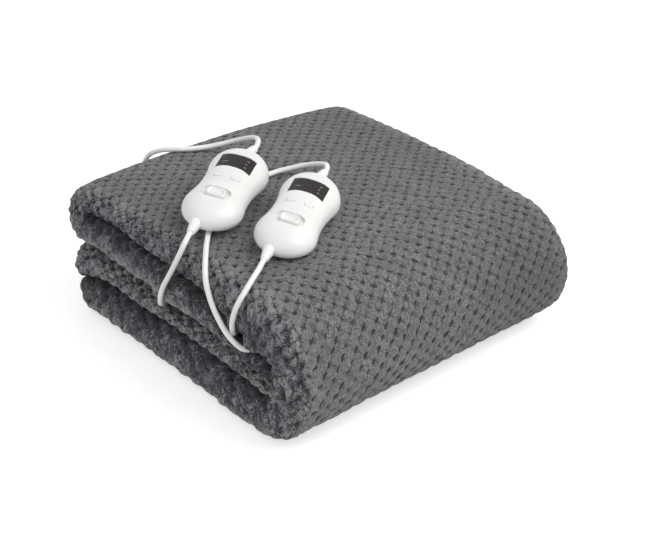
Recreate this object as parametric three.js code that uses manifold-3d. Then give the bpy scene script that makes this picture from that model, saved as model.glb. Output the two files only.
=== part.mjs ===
// A heated mattress pad of deep plush, folded in four lengthwise and then in four again,
// with its two control handsets lying on top and their white leads.
// Millimetres, +Z up. The origin is at the bottom centre of the folded pad.
// +X runs along the smooth rounded side, +Y runs back along the side where the folds show.
import * as THREE from 'three';
import { mergeVertices } from 'three/addons/utils/BufferGeometryUtils.js';
import Module from 'manifold-3d';

const manifold = await Module();
manifold.setup();

// ---------------------------------------------------------------- driving sizes
const GAP = 0.3;                    // running gap between two pieces

const PAD = {
  width: 350,                       // along X, across the band
  depth: 356,                       // along Y, from fold to fold
  stack: 140,                       // height of the four layers before the corners differ
  edgeReach: 17,                    // how far the roll of each side edge comes in
  edgePower: 2.3,                   // 2 is a round edge, more is squarer
  endDrawnIn: 14,                    // how far the side edges come in at the two free ends
};

// Heights of the stack at its four corners and the crown between them.
const CORNER_HEIGHT = { frontLeft: 147, backLeft: 136, frontRight: 119, backRight: 108 };
const CROWN = { alongX: 8, alongY: 8 };

// How far the side edges of each layer stay inside the pad's width, from the floor up.
const LAYERS = [
  { name: 'bottom', insetLeft: 0, insetRight: 4 },
  { name: 'lower', insetLeft: 5, insetRight: 0 },
  { name: 'upper', insetLeft: 1, insetRight: 5 },
  { name: 'top', insetLeft: 4, insetRight: 2 },
];

// Heights of the three creases between the layers, from the back of the pad to its front.
// The upper layer thins out towards the front, where the top layer sags down over it.
const CREASES = [
  { y: 178, first: 35, second: 76, third: 108 },
  { y: 100, first: 38, second: 73, third: 109 },
  { y: 55, first: 39, second: 70, third: 105 },
  { y: 5, first: 42, second: 67, third: 102 },
  { y: -40, first: 42, second: 69, third: 98 },
  { y: -78, first: 39, second: 70, third: 84 },
  { y: -104, first: 41, second: 66, third: 77 },
  { y: -128, first: 42, second: 60, third: 74 },
];
const CREASE_GAP = 3;               // open height of a crease between two layers

// How far each end of a layer reaches along Y, measured from the middle.
const REACH = {
  outerFold: 178,                   // the smooth front side, where the top layer wraps under
  innerFold: 141,                   // the fold hidden inside it
  backFold: 177.3,                  // the fold at the back, between the top two layers
};

// The free ends of the band, at the back: how far each reaches along Y, the length of its rounding,
// and where its tip lies in the layer, from -0.5 for its upper face to 0.5 for its lower one.
const FREE_ENDS = {
  lower: { reach: 175, length: 14, dip: 0.25 },
  bottom: { reach: 166, length: 18, dip: -0.2 },
};

// The handset lies along its own x axis, screen end at +x, its flat base at z = 0.
const HANDSET = {
  lobeRadius: 28.5,                 // both round ends
  lobeOffset: 30.5,                 // from the middle to the centre of each end
  waist: 25,                        // half the width at the middle
  parting: 8,                       // height of the parting line, where the shell is widest
  rise: 0.2,                        // how much deeper the screen end is than the middle
};

// From the flat base up over the parting line to the crown of the handset.
const HANDSET_LEVELS = [
  { inset: 6.5, up: 0 }, { inset: 3.0, up: 1.2 }, { inset: 0.8, up: 4.2 }, { inset: 0, up: 8 },
  { inset: 0.4, up: 11.5 }, { inset: 1.6, up: 15 }, { inset: 3.8, up: 18.3 }, { inset: 7, up: 21.3 },
  { inset: 11, up: 23.6 }, { inset: 16, up: 25.3 }, { inset: 21, up: 26 },
];

const WINDOW = { middle: 24.3, width: 34, length: 19.5, arch: 1.9, sunk: 0.5, thick: 1.6 };
const BUTTON = { at: -0.5, side: 8.5, width: 8.4, length: 5.6, proud: 0.7, thick: 3, travel: 0.8 };
// A thumb piece slides to either side by its travel, with room left in its recess.
const SWITCH = { middle: -26, width: 19, length: 12, floor: 20.4, proud: 1.2, travel: 3 };
const RECESS = { endRoom: 1, sideRoom: 1.6, corner: 5 };

// Tapered sleeves where the leads leave the handset: smooth at the screen end, ribbed at the other.
const SLEEVE = { baseRadius: 5.7, tipRadius: 3.8, ribs: 5, ribDepth: 0.6 };
const SLEEVE_TOP = { length: 17, x: 58, y: 1.5, z: 15, turn: -1, dip: 6 };
const SLEEVE_LOW = { length: 14.5, x: -56.8, y: 5.5, z: 6.8, turn: 182, dip: 6 };

// Where each handset lies on the pad: its middle, its heading from +X, how far its screen end
// is tipped up and its side rolled down in the deep pile, in degrees, and how far its middle
// is off the pad.
const HANDSETS = [
  { name: 'left', x: -97.6, y: 16.4, heading: 30, tilt: 3, roll: 7, lift: 10.2 },
  { name: 'right', x: -70.9, y: -53.1, heading: 30, tilt: 3, roll: 7, lift: 4.4 },
];

// The leads, as the points that their middle lines follow.
const LEAD = { diameter: 5, sides: 8, stepLength: 12.5 };

// From the left handset over the back of the pad to the coil on the floor.
const MAINS_LEFT = [
  [-16.9, 68, 169.8], [-11.1, 78.7, 165.7], [-8.9, 89.8, 160.5], [-10.2, 101.4, 154.7], [-15, 112.5, 149],
  [-24, 123.5, 144], [-35.5, 133, 141.2], [-48, 141.5, 140.6], [-58, 151.5, 139.8], [-65, 163, 136.2],
  [-69.5, 175.5, 127], [-72, 182.5, 111], [-72.5, 184.8, 91], [-71, 185.5, 68], [-67.5, 187.5, 45],
  [-61, 191.5, 26], [-48, 196, 16], [-33, 199, 10.4], [-20, 200.2, 8.3], [-10.4, 200.4, 7.9],
];

// From the right handset, under the left one, and over the side into the fold.
const MAINS_RIGHT = [
  [3.8, -8, 167.4], [7.5, 3.1, 162.8], [7.9, 14.7, 157.6], [4.2, 25.9, 152.8], [-4.5, 35, 149],
  [-16, 40.5, 147.4], [-29, 41.5, 147.4], [-47, 37, 148.6], [-70.5, 28.5, 150], [-96.5, 16.5, 151.4],
  [-121, 2, 152.6], [-137, -10.5, 153.2], [-151, -25, 153.4], [-163, -39, 152.5], [-171.1, -48.4, 147.1],
  [-175.3, -54.3, 138.3], [-176.2, -58.2, 128.7], [-176.7, -65, 117.2], [-176.9, -73.7, 107.4],
  [-176.7, -83.7, 98.7], [-174.2, -91.5, 91.7], [-169.9, -96.8, 86.3], [-164.8, -99.9, 84],
];

// From the low ends of the handsets over the side into the folds.
const PAD_LEAD_LEFT = [
  [-172.6, -19.9, 157.4], [-175.9, -15.6, 144.4], [-176.2, -7.2, 129.1], [-176, 1.6, 114.6],
  [-176.4, 8.8, 102], [-177.3, 12, 93], [-176.6, 14.8, 84.6], [-173.6, 18.6, 77.2],
  [-168.9, 22.8, 73.2], [-163.4, 26.8, 72],
];
const PAD_LEAD_RIGHT = [
  [-148.6, -94.4, 157.7], [-158.3, -98.2, 154.2], [-166.5, -100, 148.2], [-172.3, -99.6, 141.4],
  [-174.8, -96.8, 133], [-175.2, -93, 123], [-174.9, -89.8, 113.4], [-172.6, -86.5, 103.4],
  [-168.8, -82.7, 95.4], [-163.6, -78.4, 91],
];

// The rest of the mains lead lies behind the pad, wound into a round coil, with its plug beside it.
const COIL = { x: 10, y: 240, middleRadius: 29.4, width: 24.6, height: 10.3 };
const PLUG = { x: 56.3, y: 200.4, length: 34, width: 35, backWidth: 13, thick: 13.7, corner: 3 };
const PIN = { radius: 2, length: 19, apart: 19 };
const PLUG_SLEEVE = { length: 24, baseRadius: 5, tipRadius: 3.4 };

// ---------------------------------------------------------------- small helpers
const mix = (a, b, t) => a + (b - a) * t;
const smooth = (t) => t * t * (3 - 2 * t);
const signedPower = (value, power) => Math.sign(value) * Math.abs(value) ** power;

// A closed mesh from rings with the same number of points, its two ends closed by fans.
function loft(rings) {
  const count = rings[0].length;
  const positions = [];
  const index = [];
  for (const ring of rings) {
    for (const point of ring) positions.push(point.x, point.y, point.z);
  }
  for (let r = 0; r + 1 < rings.length; r++) {
    for (let i = 0; i < count; i++) {
      const next = (i + 1) % count;
      const a = r * count + i;
      const b = r * count + next;
      index.push(a, b, a + count, b, b + count, a + count);
    }
  }
  const closeEnd = (ringNumber, flip) => {
    const centre = new THREE.Vector3();
    rings[ringNumber].forEach((point) => centre.add(point));
    centre.divideScalar(count);
    const middle = positions.length / 3;
    positions.push(centre.x, centre.y, centre.z);
    for (let i = 0; i < count; i++) {
      const a = ringNumber * count + i;
      const b = ringNumber * count + (i + 1) % count;
      if (flip) index.push(middle, b, a);
      else index.push(middle, a, b);
    }
  };
  closeEnd(0, true);
  closeEnd(rings.length - 1, false);
  const geometry = new THREE.BufferGeometry();
  geometry.setAttribute('position', new THREE.Float32BufferAttribute(positions, 3));
  geometry.setIndex(index);
  return geometry;
}

// ---------------------------------------------------------------- the folded pad
// Height of the stack over a point, as a share of PAD.stack.
function stackShare(x, y) {
  const u = x / PAD.width + 0.5;
  const v = y / PAD.depth + 0.5;
  const front = mix(CORNER_HEIGHT.frontLeft, CORNER_HEIGHT.frontRight, u);
  const back = mix(CORNER_HEIGHT.backLeft, CORNER_HEIGHT.backRight, u);
  const crownX = CROWN.alongX * Math.max(0, 1 - (2 * u - 1) ** 2);
  const crownY = CROWN.alongY * Math.max(0, 1 - (2 * v - 1) ** 2);
  return (mix(front, back, v) + crownX + crownY) / PAD.stack;
}

// Heights of the creases at one place along Y.
function creasesAt(y) {
  const last = CREASES.length - 1;
  if (y >= CREASES[0].y) return CREASES[0];
  if (y <= CREASES[last].y) return CREASES[last];
  const i = CREASES.findIndex((row) => row.y <= y);
  const [from, to] = [CREASES[i - 1], CREASES[i]];
  const t = smooth((y - from.y) / (to.y - from.y));
  return {
    first: mix(from.first, to.first, t),
    second: mix(from.second, to.second, t),
    third: mix(from.third, to.third, t),
  };
}

// Middle height and thickness of a layer, 0 the bottom one to 3 the top one.
function layerAt(number, y) {
  const { first, second, third } = creasesAt(y);
  const edges = [-CREASE_GAP / 2, first, second, third, PAD.stack + CREASE_GAP / 2];
  return {
    middle: (edges[number] + edges[number + 1]) / 2,
    thick: edges[number + 1] - edges[number] - CREASE_GAP,
  };
}

// The middle line of the band in the YZ plane, as stations with a thickness and side insets.
function padStations() {
  const BOTTOM = 0;
  const LOWER = 1;
  const UPPER = 2;
  const TOP = 3;
  const RUN_STEPS = 10;
  const FOLD_STEPS = 9;
  const NOSE_STEPS = 4;
  const stations = [];
  // A straight run of one layer between two places along Y.
  const run = (number, from, to) => {
    for (let i = 0; i <= RUN_STEPS; i++) {
      const y = mix(from, to, i / RUN_STEPS);
      const { middle, thick } = layerAt(number, y);
      stations.push({ y, z: middle, thick, ...LAYERS[number] });
    }
  };
  // Half an oval from one layer to another; side is -1 at the front and +1 at the back.
  const fold = ({ from, to, centreY, reach, side, belly }) => {
    const start = layerAt(from, centreY);
    const end = layerAt(to, centreY);
    for (let i = 1; i < FOLD_STEPS; i++) {
      const angle = (Math.PI * i) / FOLD_STEPS;
      const t = smooth(i / FOLD_STEPS);
      const power = angle < Math.PI / 2 ? belly : 1;
      stations.push({
        y: centreY + side * reach * Math.sin(angle) ** power,
        z: mix(start.middle, end.middle, (1 - Math.cos(angle)) / 2),
        thick: mix(start.thick, end.thick, t),
        insetLeft: mix(LAYERS[from].insetLeft, LAYERS[to].insetLeft, t),
        insetRight: mix(LAYERS[from].insetRight, LAYERS[to].insetRight, t),
      });
    }
  };
  // The rounded free end of a layer.
  const freeEnd = (number, { reach, length, dip }, opening) => {
    for (let i = 1; i <= NOSE_STEPS; i++) {
      const angle = (Math.PI / 2) * ((opening ? NOSE_STEPS - i + 1 : i) / (NOSE_STEPS + 0.6));
      const y = reach - length * (1 - Math.sin(angle));
      const { middle, thick } = layerAt(number, y);
      const thinner = thick * (1 - Math.cos(angle));
      const drawnIn = PAD.endDrawnIn * (1 - Math.cos(angle));
      stations.push({
        y, z: middle - dip * thinner, thick: thick - thinner, flat: opening ? -1 : 1,
        insetLeft: LAYERS[number].insetLeft + drawnIn, insetRight: LAYERS[number].insetRight + drawnIn,
      });
    }
  };
  const front = layerAt(TOP, -REACH.outerFold);
  const frontLow = layerAt(BOTTOM, -REACH.outerFold);
  const outerHalf = (front.middle - frontLow.middle) / 2;
  const outer = { from: BOTTOM, to: TOP, side: -1, reach: 0.95 * outerHalf, belly: 0.72 };
  outer.centreY = -REACH.outerFold + (front.thick + frontLow.thick) / 4 + outer.reach;
  const back = layerAt(TOP, REACH.backFold);
  const backLow = layerAt(UPPER, REACH.backFold);
  const upperFold = { from: TOP, to: UPPER, side: 1, belly: 1 };
  upperFold.reach = (back.middle - backLow.middle) / 2;
  upperFold.centreY = REACH.backFold - (back.thick + backLow.thick) / 4 - upperFold.reach;
  const inside = layerAt(UPPER, -REACH.innerFold);
  const insideLow = layerAt(LOWER, -REACH.innerFold);
  const innerFold = { from: UPPER, to: LOWER, side: -1, belly: 1 };
  innerFold.reach = (inside.middle - insideLow.middle) / 2;
  innerFold.centreY = -REACH.innerFold + (inside.thick + insideLow.thick) / 4 + innerFold.reach;
  freeEnd(BOTTOM, FREE_ENDS.bottom, true);
  run(BOTTOM, FREE_ENDS.bottom.reach - FREE_ENDS.bottom.length, outer.centreY);
  fold(outer);
  run(TOP, outer.centreY, upperFold.centreY);
  fold(upperFold);
  run(UPPER, upperFold.centreY, innerFold.centreY);
  fold(innerFold);
  run(LOWER, innerFold.centreY, FREE_ENDS.lower.reach - FREE_ENDS.lower.length);
  freeEnd(LOWER, FREE_ENDS.lower, false);
  return stations;
}

// The way that the band's faces point at each station, square to its middle line.
function faceDirection(stations, i) {
  if (stations[i].flat) return { y: 0, z: stations[i].flat };
  const before = stations[i - 1];
  const after = stations[i + 1];
  const along = Math.hypot(after.y - before.y, after.z - before.z);
  return { y: -(after.z - before.z) / along, z: (after.y - before.y) / along };
}

// The section of the band at one station: flat faces and rolled side edges.
function padRing(station, facing) {
  const EDGE_STEPS = 7;
  const FACE_STEPS = 8;
  const left = -PAD.width / 2 + station.insetLeft;
  const right = PAD.width / 2 - station.insetRight;
  const half = station.thick / 2;
  const reach = PAD.edgeReach;
  const section = [];
  const edge = (cornerX, side) => {
    for (let i = 0; i <= EDGE_STEPS; i++) {
      const angle = side * (-Math.PI / 2 + (Math.PI * i) / EDGE_STEPS);
      section.push([
        cornerX + side * reach * signedPower(Math.cos(angle), 2 / PAD.edgePower),
        half * signedPower(Math.sin(angle), 2 / PAD.edgePower),
      ]);
    }
  };
  const face = (from, to, height) => {
    for (let i = 1; i < FACE_STEPS; i++) section.push([mix(from, to, i / FACE_STEPS), height]);
  };
  edge(right - reach, 1);
  face(right - reach, left + reach, half);
  edge(left + reach, -1);
  face(left + reach, right - reach, -half);
  return section.reverse().map(([x, out]) => {
    const y = station.y + facing.y * out;
    const z = station.z + facing.z * out;
    return new THREE.Vector3(x, y, z * stackShare(x, y));
  });
}

function makePad() {
  const stations = padStations();
  return loft(stations.map((station, i) => padRing(station, faceDirection(stations, i))));
}

// Height of the pad's upper face, and the way that it faces.
const padTop = (x, y) => PAD.stack * stackShare(x, y);
function padNormal(x, y) {
  const STEP = 30;
  const slopeX = (padTop(x + STEP, y) - padTop(x - STEP, y)) / (2 * STEP);
  const slopeY = (padTop(x, y + STEP) - padTop(x, y - STEP)) / (2 * STEP);
  return new THREE.Vector3(-slopeX, -slopeY, 1).normalize();
}

// ---------------------------------------------------------------- joining and cutting
function toSolid(geometry) {
  const plain = geometry.clone();
  plain.deleteAttribute('normal');
  plain.deleteAttribute('uv');
  const merged = mergeVertices(plain, 1e-4);
  return new manifold.Manifold(new manifold.Mesh({
    numProp: 3,
    vertProperties: new Float32Array(merged.attributes.position.array),
    triVerts: new Uint32Array(merged.index.array),
  }));
}

function toGeometry(solid) {
  const mesh = solid.getMesh();
  const geometry = new THREE.BufferGeometry();
  geometry.setAttribute('position', new THREE.Float32BufferAttribute(mesh.vertProperties, 3));
  geometry.setIndex(Array.from(mesh.triVerts));
  return geometry;
}

// ---------------------------------------------------------------- the handset
// Its outline from above, drawn in by an inset: two round ends and a hollow arc at each side.
function handsetOutline(inset) {
  const LOBE_STEPS = 12;
  const WAIST_STEPS = 5;
  const { lobeRadius, lobeOffset, waist } = HANDSET;
  // The hollow arc has its centre on the y axis and touches both round ends.
  const hollow = (lobeOffset ** 2 + waist ** 2 - lobeRadius ** 2) / (2 * (lobeRadius - waist));
  const centreY = hollow + waist;
  const touch = Math.atan2(centreY, lobeOffset);
  const round = lobeRadius - inset;
  const hollowRadius = hollow + inset;
  const points = [];
  const lobe = (side) => {
    for (let i = 0; i <= LOBE_STEPS; i++) {
      const angle = mix(-(Math.PI - touch), Math.PI - touch, i / LOBE_STEPS);
      const x = side * (lobeOffset + round * Math.cos(angle));
      points.push([x, side * round * Math.sin(angle)]);
    }
  };
  const waistSide = (side) => {
    for (let i = 1; i < WAIST_STEPS; i++) {
      const spread = mix(Math.PI / 2 - touch, touch - Math.PI / 2, i / WAIST_STEPS);
      const x = side * hollowRadius * Math.sin(spread);
      points.push([x, side * (centreY - hollowRadius * Math.cos(spread))]);
    }
  };
  lobe(1);
  waistSide(1);
  lobe(-1);
  waistSide(-1);
  return points;
}

// The handset's body; grow swells it all round, and sink lowers its upper face.
function handsetBody(grow = 0, sink = 0) {
  const rings = HANDSET_LEVELS.map(({ inset, up }) => handsetOutline(inset - grow).map(([x, y]) => {
    const deeper = 1 + HANDSET.rise * (x / (HANDSET.lobeOffset + HANDSET.lobeRadius));
    const z = up * deeper + (up < HANDSET.parting ? -grow : grow) - sink;
    return new THREE.Vector3(x, y, z);
  }));
  return toSolid(loft(rings));
}

// An upright prism over an outline, between two heights.
function prism(shape, low, high) {
  const depth = high - low;
  const geometry = new THREE.ExtrudeGeometry(shape, { depth, bevelEnabled: false, curveSegments: 6 });
  geometry.translate(0, 0, low);
  return toSolid(geometry);
}

function roundedShape(middleX, middleY, length, width, radius) {
  const shape = new THREE.Shape();
  const [x0, x1] = [middleX - length / 2, middleX + length / 2];
  const [y0, y1] = [middleY - width / 2, middleY + width / 2];
  shape.moveTo(x0 + radius, y0);
  shape.lineTo(x1 - radius, y0);
  shape.absarc(x1 - radius, y0 + radius, radius, -Math.PI / 2, 0, false);
  shape.lineTo(x1, y1 - radius);
  shape.absarc(x1 - radius, y1 - radius, radius, 0, Math.PI / 2, false);
  shape.lineTo(x0 + radius, y1);
  shape.absarc(x0 + radius, y1 - radius, radius, Math.PI / 2, Math.PI, false);
  shape.lineTo(x0, y0 + radius);
  shape.absarc(x0 + radius, y0 + radius, radius, Math.PI, Math.PI * 1.5, false);
  return shape;
}

// The window's outline: two sides and two arcs that bow towards the screen end.
function windowShape(shrink) {
  const half = WINDOW.width / 2 - shrink;
  const near = WINDOW.middle - WINDOW.length / 2 + shrink;
  const far = WINDOW.middle + WINDOW.length / 2 - shrink;
  const radius = (half ** 2 + WINDOW.arch ** 2) / (2 * WINDOW.arch);
  const swing = Math.asin(half / radius);
  const shape = new THREE.Shape();
  shape.absarc(near - radius, 0, radius, swing, -swing, true);
  shape.absarc(far - radius, 0, radius, -swing, swing, false);
  return shape;
}

function handsetParts() {
  const LOW = 4;                      // inside every part of the handset
  const HIGH = 60;                    // above it
  const column = (shape) => prism(shape, LOW, HIGH);
  const pocket = (shape, depth) => column(shape).subtract(handsetBody(0, depth));
  const buttonShape = (side, shrink) => roundedShape(
    BUTTON.at, side * BUTTON.side, BUTTON.length - 2 * shrink, BUTTON.width - 2 * shrink, 1.2);
  const recessLength = SWITCH.length + 2 * RECESS.sideRoom;
  const recessWidth = SWITCH.width + 2 * (SWITCH.travel + RECESS.endRoom);
  const recess = roundedShape(SWITCH.middle, 0, recessLength, recessWidth, RECESS.corner);
  const shell = handsetBody()
    .subtract(pocket(windowShape(0), WINDOW.sunk + WINDOW.thick + 2 * GAP))
    .subtract(pocket(buttonShape(1, 0), BUTTON.thick + BUTTON.travel - BUTTON.proud + GAP))
    .subtract(pocket(buttonShape(-1, 0), BUTTON.thick + BUTTON.travel - BUTTON.proud + GAP))
    .subtract(prism(recess, SWITCH.floor, HIGH));
  const plate = (shape, sink, thick) => column(shape)
    .intersect(handsetBody(0, sink)).subtract(handsetBody(0, sink + thick));
  const thumbOutline = roundedShape(SWITCH.middle, 0, SWITCH.length, SWITCH.width, 4);
  const thumb = prism(thumbOutline, SWITCH.floor + GAP, HIGH).intersect(handsetBody(0, -SWITCH.proud));
  return {
    shell,
    window: plate(windowShape(GAP), WINDOW.sunk, WINDOW.thick),
    buttonLeft: plate(buttonShape(1, GAP), -BUTTON.proud, BUTTON.thick),
    buttonRight: plate(buttonShape(-1, GAP), -BUTTON.proud, BUTTON.thick),
    thumb,
  };
}

// A sleeve along +x from inside the handset's wall to its tip, cut clear of the wall.
function sleeve({ length, x, y, z, turn, dip }, ribbed) {
  const { baseRadius, tipRadius, ribs, ribDepth } = SLEEVE;
  const BURIED = 12;
  const profile = [[0, -BURIED], [baseRadius, -BURIED]];
  if (ribbed) {
    const pitch = length / ribs;
    for (let i = 0; i < ribs; i++) {
      const from = pitch * i;
      const radius = mix(baseRadius, tipRadius, i / (ribs - 1));
      const root = radius - ribDepth;
      profile.push([radius, from], [radius, from + pitch * 0.6]);
      if (i + 1 < ribs) profile.push([root, from + pitch * 0.66], [root, from + pitch * 0.94]);
    }
    profile.push([tipRadius, length]);
  } else {
    profile.push([baseRadius, 0], [mix(baseRadius, tipRadius, 0.62), length / 2], [tipRadius, length - 1]);
    profile.push([tipRadius - 0.6, length]);
  }
  profile.push([0, length]);
  const geometry = new THREE.LatheGeometry(profile.map(([r, h]) => new THREE.Vector2(r, h)), 14);
  geometry.rotateZ(-Math.PI / 2);
  geometry.rotateY((dip * Math.PI) / 180);
  geometry.rotateZ((turn * Math.PI) / 180);
  geometry.translate(x, y, z);
  return toSolid(geometry).subtract(handsetBody(1.3 * GAP));
}

// The tip of a sleeve and the way that it points, in the handset's own frame.
function sleeveTip({ length, x, y, z, turn, dip }) {
  const [around, down] = [(turn * Math.PI) / 180, (dip * Math.PI) / 180];
  const points = new THREE.Vector3(
    Math.cos(down) * Math.cos(around), Math.cos(down) * Math.sin(around), -Math.sin(down));
  return { tip: new THREE.Vector3(x, y, z).addScaledVector(points, length), points };
}

// ---------------------------------------------------------------- leads and plug
// A round lead along the given points, after an optional first point at a sleeve's tip.
function lead(points, start) {
  const route = points.map(([x, y, z]) => new THREE.Vector3(x, y, z));
  if (start) {
    const [close, straight] = [GAP, LEAD.diameter];
    route.unshift(...[close, straight].map((far) => start.tip.clone().addScaledVector(start.points, far)));
  }
  const curve = new THREE.CatmullRomCurve3(route, false, 'centripetal');
  const shape = new THREE.Shape();
  for (let i = 0; i < LEAD.sides; i++) {
    const angle = (2 * Math.PI * i) / LEAD.sides;
    const [x, y] = [Math.cos(angle) * LEAD.diameter / 2, Math.sin(angle) * LEAD.diameter / 2];
    if (i === 0) shape.moveTo(x, y);
    else shape.lineTo(x, y);
  }
  const steps = Math.ceil(curve.getLength() / LEAD.stepLength);
  return new THREE.ExtrudeGeometry(shape, { steps, extrudePath: curve, bevelEnabled: false });
}

// The outer shape of the wound coil: a ring with rounded edges, lying on the floor.
function coilRing() {
  const [inner, outer] = [COIL.middleRadius - COIL.width / 2, COIL.middleRadius + COIL.width / 2];
  const edge = 4;
  const profile = [
    [inner + edge, 0], [outer - edge, 0], [outer, edge], [outer, COIL.height - edge],
    [outer - edge, COIL.height], [inner + edge, COIL.height], [inner, COIL.height - edge], [inner, edge],
    [inner + edge, 0],
  ];
  const geometry = new THREE.LatheGeometry(profile.map(([r, h]) => new THREE.Vector2(r, h)), 28);
  geometry.rotateX(Math.PI / 2);
  geometry.translate(COIL.x, COIL.y, 0);
  return toGeometry(toSolid(geometry));
}

// The plug's body, narrow where the lead comes in and wide at its face, with the pins along +x.
function plugBody() {
  const { length, width, backWidth, thick, corner } = PLUG;
  const bevel = 2.5;
  const [back, face] = [bevel, length - bevel];
  const [halfBack, halfFace] = [backWidth / 2 - bevel, width / 2 - bevel];
  const shape = new THREE.Shape();
  shape.moveTo(back, -halfBack);
  shape.quadraticCurveTo(length * 0.45, -halfBack, length * 0.62, -halfFace);
  shape.lineTo(face - corner, -halfFace);
  shape.absarc(face - corner, -halfFace + corner, corner, -Math.PI / 2, 0, false);
  shape.lineTo(face, halfFace - corner);
  shape.absarc(face - corner, halfFace - corner, corner, 0, Math.PI / 2, false);
  shape.lineTo(length * 0.62, halfFace);
  shape.quadraticCurveTo(length * 0.45, halfBack, back, halfBack);
  const geometry = new THREE.ExtrudeGeometry(shape, {
    depth: thick - 2 * bevel, bevelSize: bevel, bevelThickness: bevel, bevelSegments: 3, curveSegments: 6,
  });
  geometry.translate(PLUG.x, PLUG.y, bevel);
  return toGeometry(toSolid(geometry));
}

function plugPin(side) {
  const { radius, length, apart } = PIN;
  const profile = [[0, 0], [radius, 0], [radius, length - radius]];
  for (let i = 1; i <= 4; i++) {
    const angle = (Math.PI / 2) * (i / 4);
    profile.push([i === 4 ? 0 : radius * Math.cos(angle), length - radius + radius * Math.sin(angle)]);
  }
  const geometry = new THREE.LatheGeometry(profile.map(([r, h]) => new THREE.Vector2(r, h)), 12);
  geometry.rotateZ(-Math.PI / 2);
  geometry.translate(PLUG.x + PLUG.length + GAP, PLUG.y + side * apart / 2, PLUG.thick / 2);
  return toGeometry(toSolid(geometry));
}

function plugSleeve() {
  const { length, baseRadius, tipRadius } = PLUG_SLEEVE;
  const middleRadius = mix(tipRadius, baseRadius, 0.3);
  const profile = [[0, 0], [tipRadius, 0], [middleRadius, length / 2], [baseRadius, length], [0, length]];
  const geometry = new THREE.LatheGeometry(profile.map(([r, h]) => new THREE.Vector2(r, h)), 14);
  geometry.rotateZ(-Math.PI / 2);
  geometry.translate(PLUG.x - GAP - length, PLUG.y, PLUG.thick / 2);
  return toGeometry(toSolid(geometry));
}

// ---------------------------------------------------------------- materials
const finish = (color, roughness) => new THREE.MeshStandardMaterial({ color, roughness, metalness: 0 });
const plushFinish = finish(0x6c6b6e, 0.95);
const shellFinish = finish(0xf0f0ee, 0.35);
const windowFinish = finish(0x3b3330, 0.15);
const leadFinish = finish(0xebebe8, 0.5);
const pinFinish = new THREE.MeshStandardMaterial({ color: 0xc9c6bf, roughness: 0.3, metalness: 1 });

// ---------------------------------------------------------------- assembly
const group = new THREE.Group();
function add(parent, name, geometry, material) {
  const mesh = new THREE.Mesh(geometry, material);
  mesh.name = name;
  parent.add(mesh);
  return mesh;
}
add(group, 'pad', makePad(), plushFinish);

const parts = handsetParts();
const sleeves = { top: sleeve(SLEEVE_TOP, false), low: sleeve(SLEEVE_LOW, true) };
const exits = {};
for (const { name, x, y, heading, tilt, roll, lift } of HANDSETS) {
  const handset = new THREE.Group();
  const up = padNormal(x, y);
  const turn = (heading * Math.PI) / 180;
  const along = new THREE.Vector3(Math.cos(turn), Math.sin(turn), 0);
  along.addScaledVector(up, -along.dot(up)).normalize();
  const across = new THREE.Vector3().crossVectors(up, along);
  const tip = new THREE.Quaternion().setFromAxisAngle(across, (-tilt * Math.PI) / 180);
  const lean = new THREE.Quaternion().setFromAxisAngle(along, (roll * Math.PI) / 180);
  for (const axis of [along, across, up]) axis.applyQuaternion(lean).applyQuaternion(tip);
  handset.quaternion.setFromRotationMatrix(new THREE.Matrix4().makeBasis(along, across, up));
  handset.position.set(x, y, padTop(x, y)).addScaledVector(up, lift);
  group.add(handset);
  handset.updateMatrixWorld(true);
  const toWorld = ({ tip: end, points }) => ({
    tip: end.applyMatrix4(handset.matrixWorld), points: points.transformDirection(handset.matrixWorld),
  });
  exits[name] = { top: toWorld(sleeveTip(SLEEVE_TOP)), low: toWorld(sleeveTip(SLEEVE_LOW)) };
  add(handset, `handset_${name}_shell`, toGeometry(parts.shell), shellFinish);
  add(handset, `handset_${name}_window`, toGeometry(parts.window), windowFinish);
  add(handset, `handset_${name}_button_up`, toGeometry(parts.buttonLeft), shellFinish);
  add(handset, `handset_${name}_button_down`, toGeometry(parts.buttonRight), shellFinish);
  add(handset, `handset_${name}_switch`, toGeometry(parts.thumb), shellFinish);
  add(handset, `handset_${name}_sleeve_top`, toGeometry(sleeves.top), leadFinish);
  add(handset, `handset_${name}_sleeve_low`, toGeometry(sleeves.low), leadFinish);
}

add(group, 'mains_lead_left', lead(MAINS_LEFT, exits.left.top), leadFinish);
add(group, 'mains_lead_right', lead(MAINS_RIGHT, exits.right.top), leadFinish);
add(group, 'pad_lead_left', lead(PAD_LEAD_LEFT, exits.left.low), leadFinish);
add(group, 'pad_lead_right', lead(PAD_LEAD_RIGHT, exits.right.low), leadFinish);
add(group, 'mains_coil', coilRing(), leadFinish);
add(group, 'plug_sleeve', plugSleeve(), leadFinish);
add(group, 'plug_body', plugBody(), leadFinish);
add(group, 'plug_pin_left', plugPin(1), pinFinish);
add(group, 'plug_pin_right', plugPin(-1), pinFinish);

export default group;
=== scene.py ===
"""The looks of a folded heated mattress pad with its two control handsets.

All sizes are in metres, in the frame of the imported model: +X runs along the smooth
rounded side, +Y runs back along the side where the folds show, and +Z is up.
"""

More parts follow.
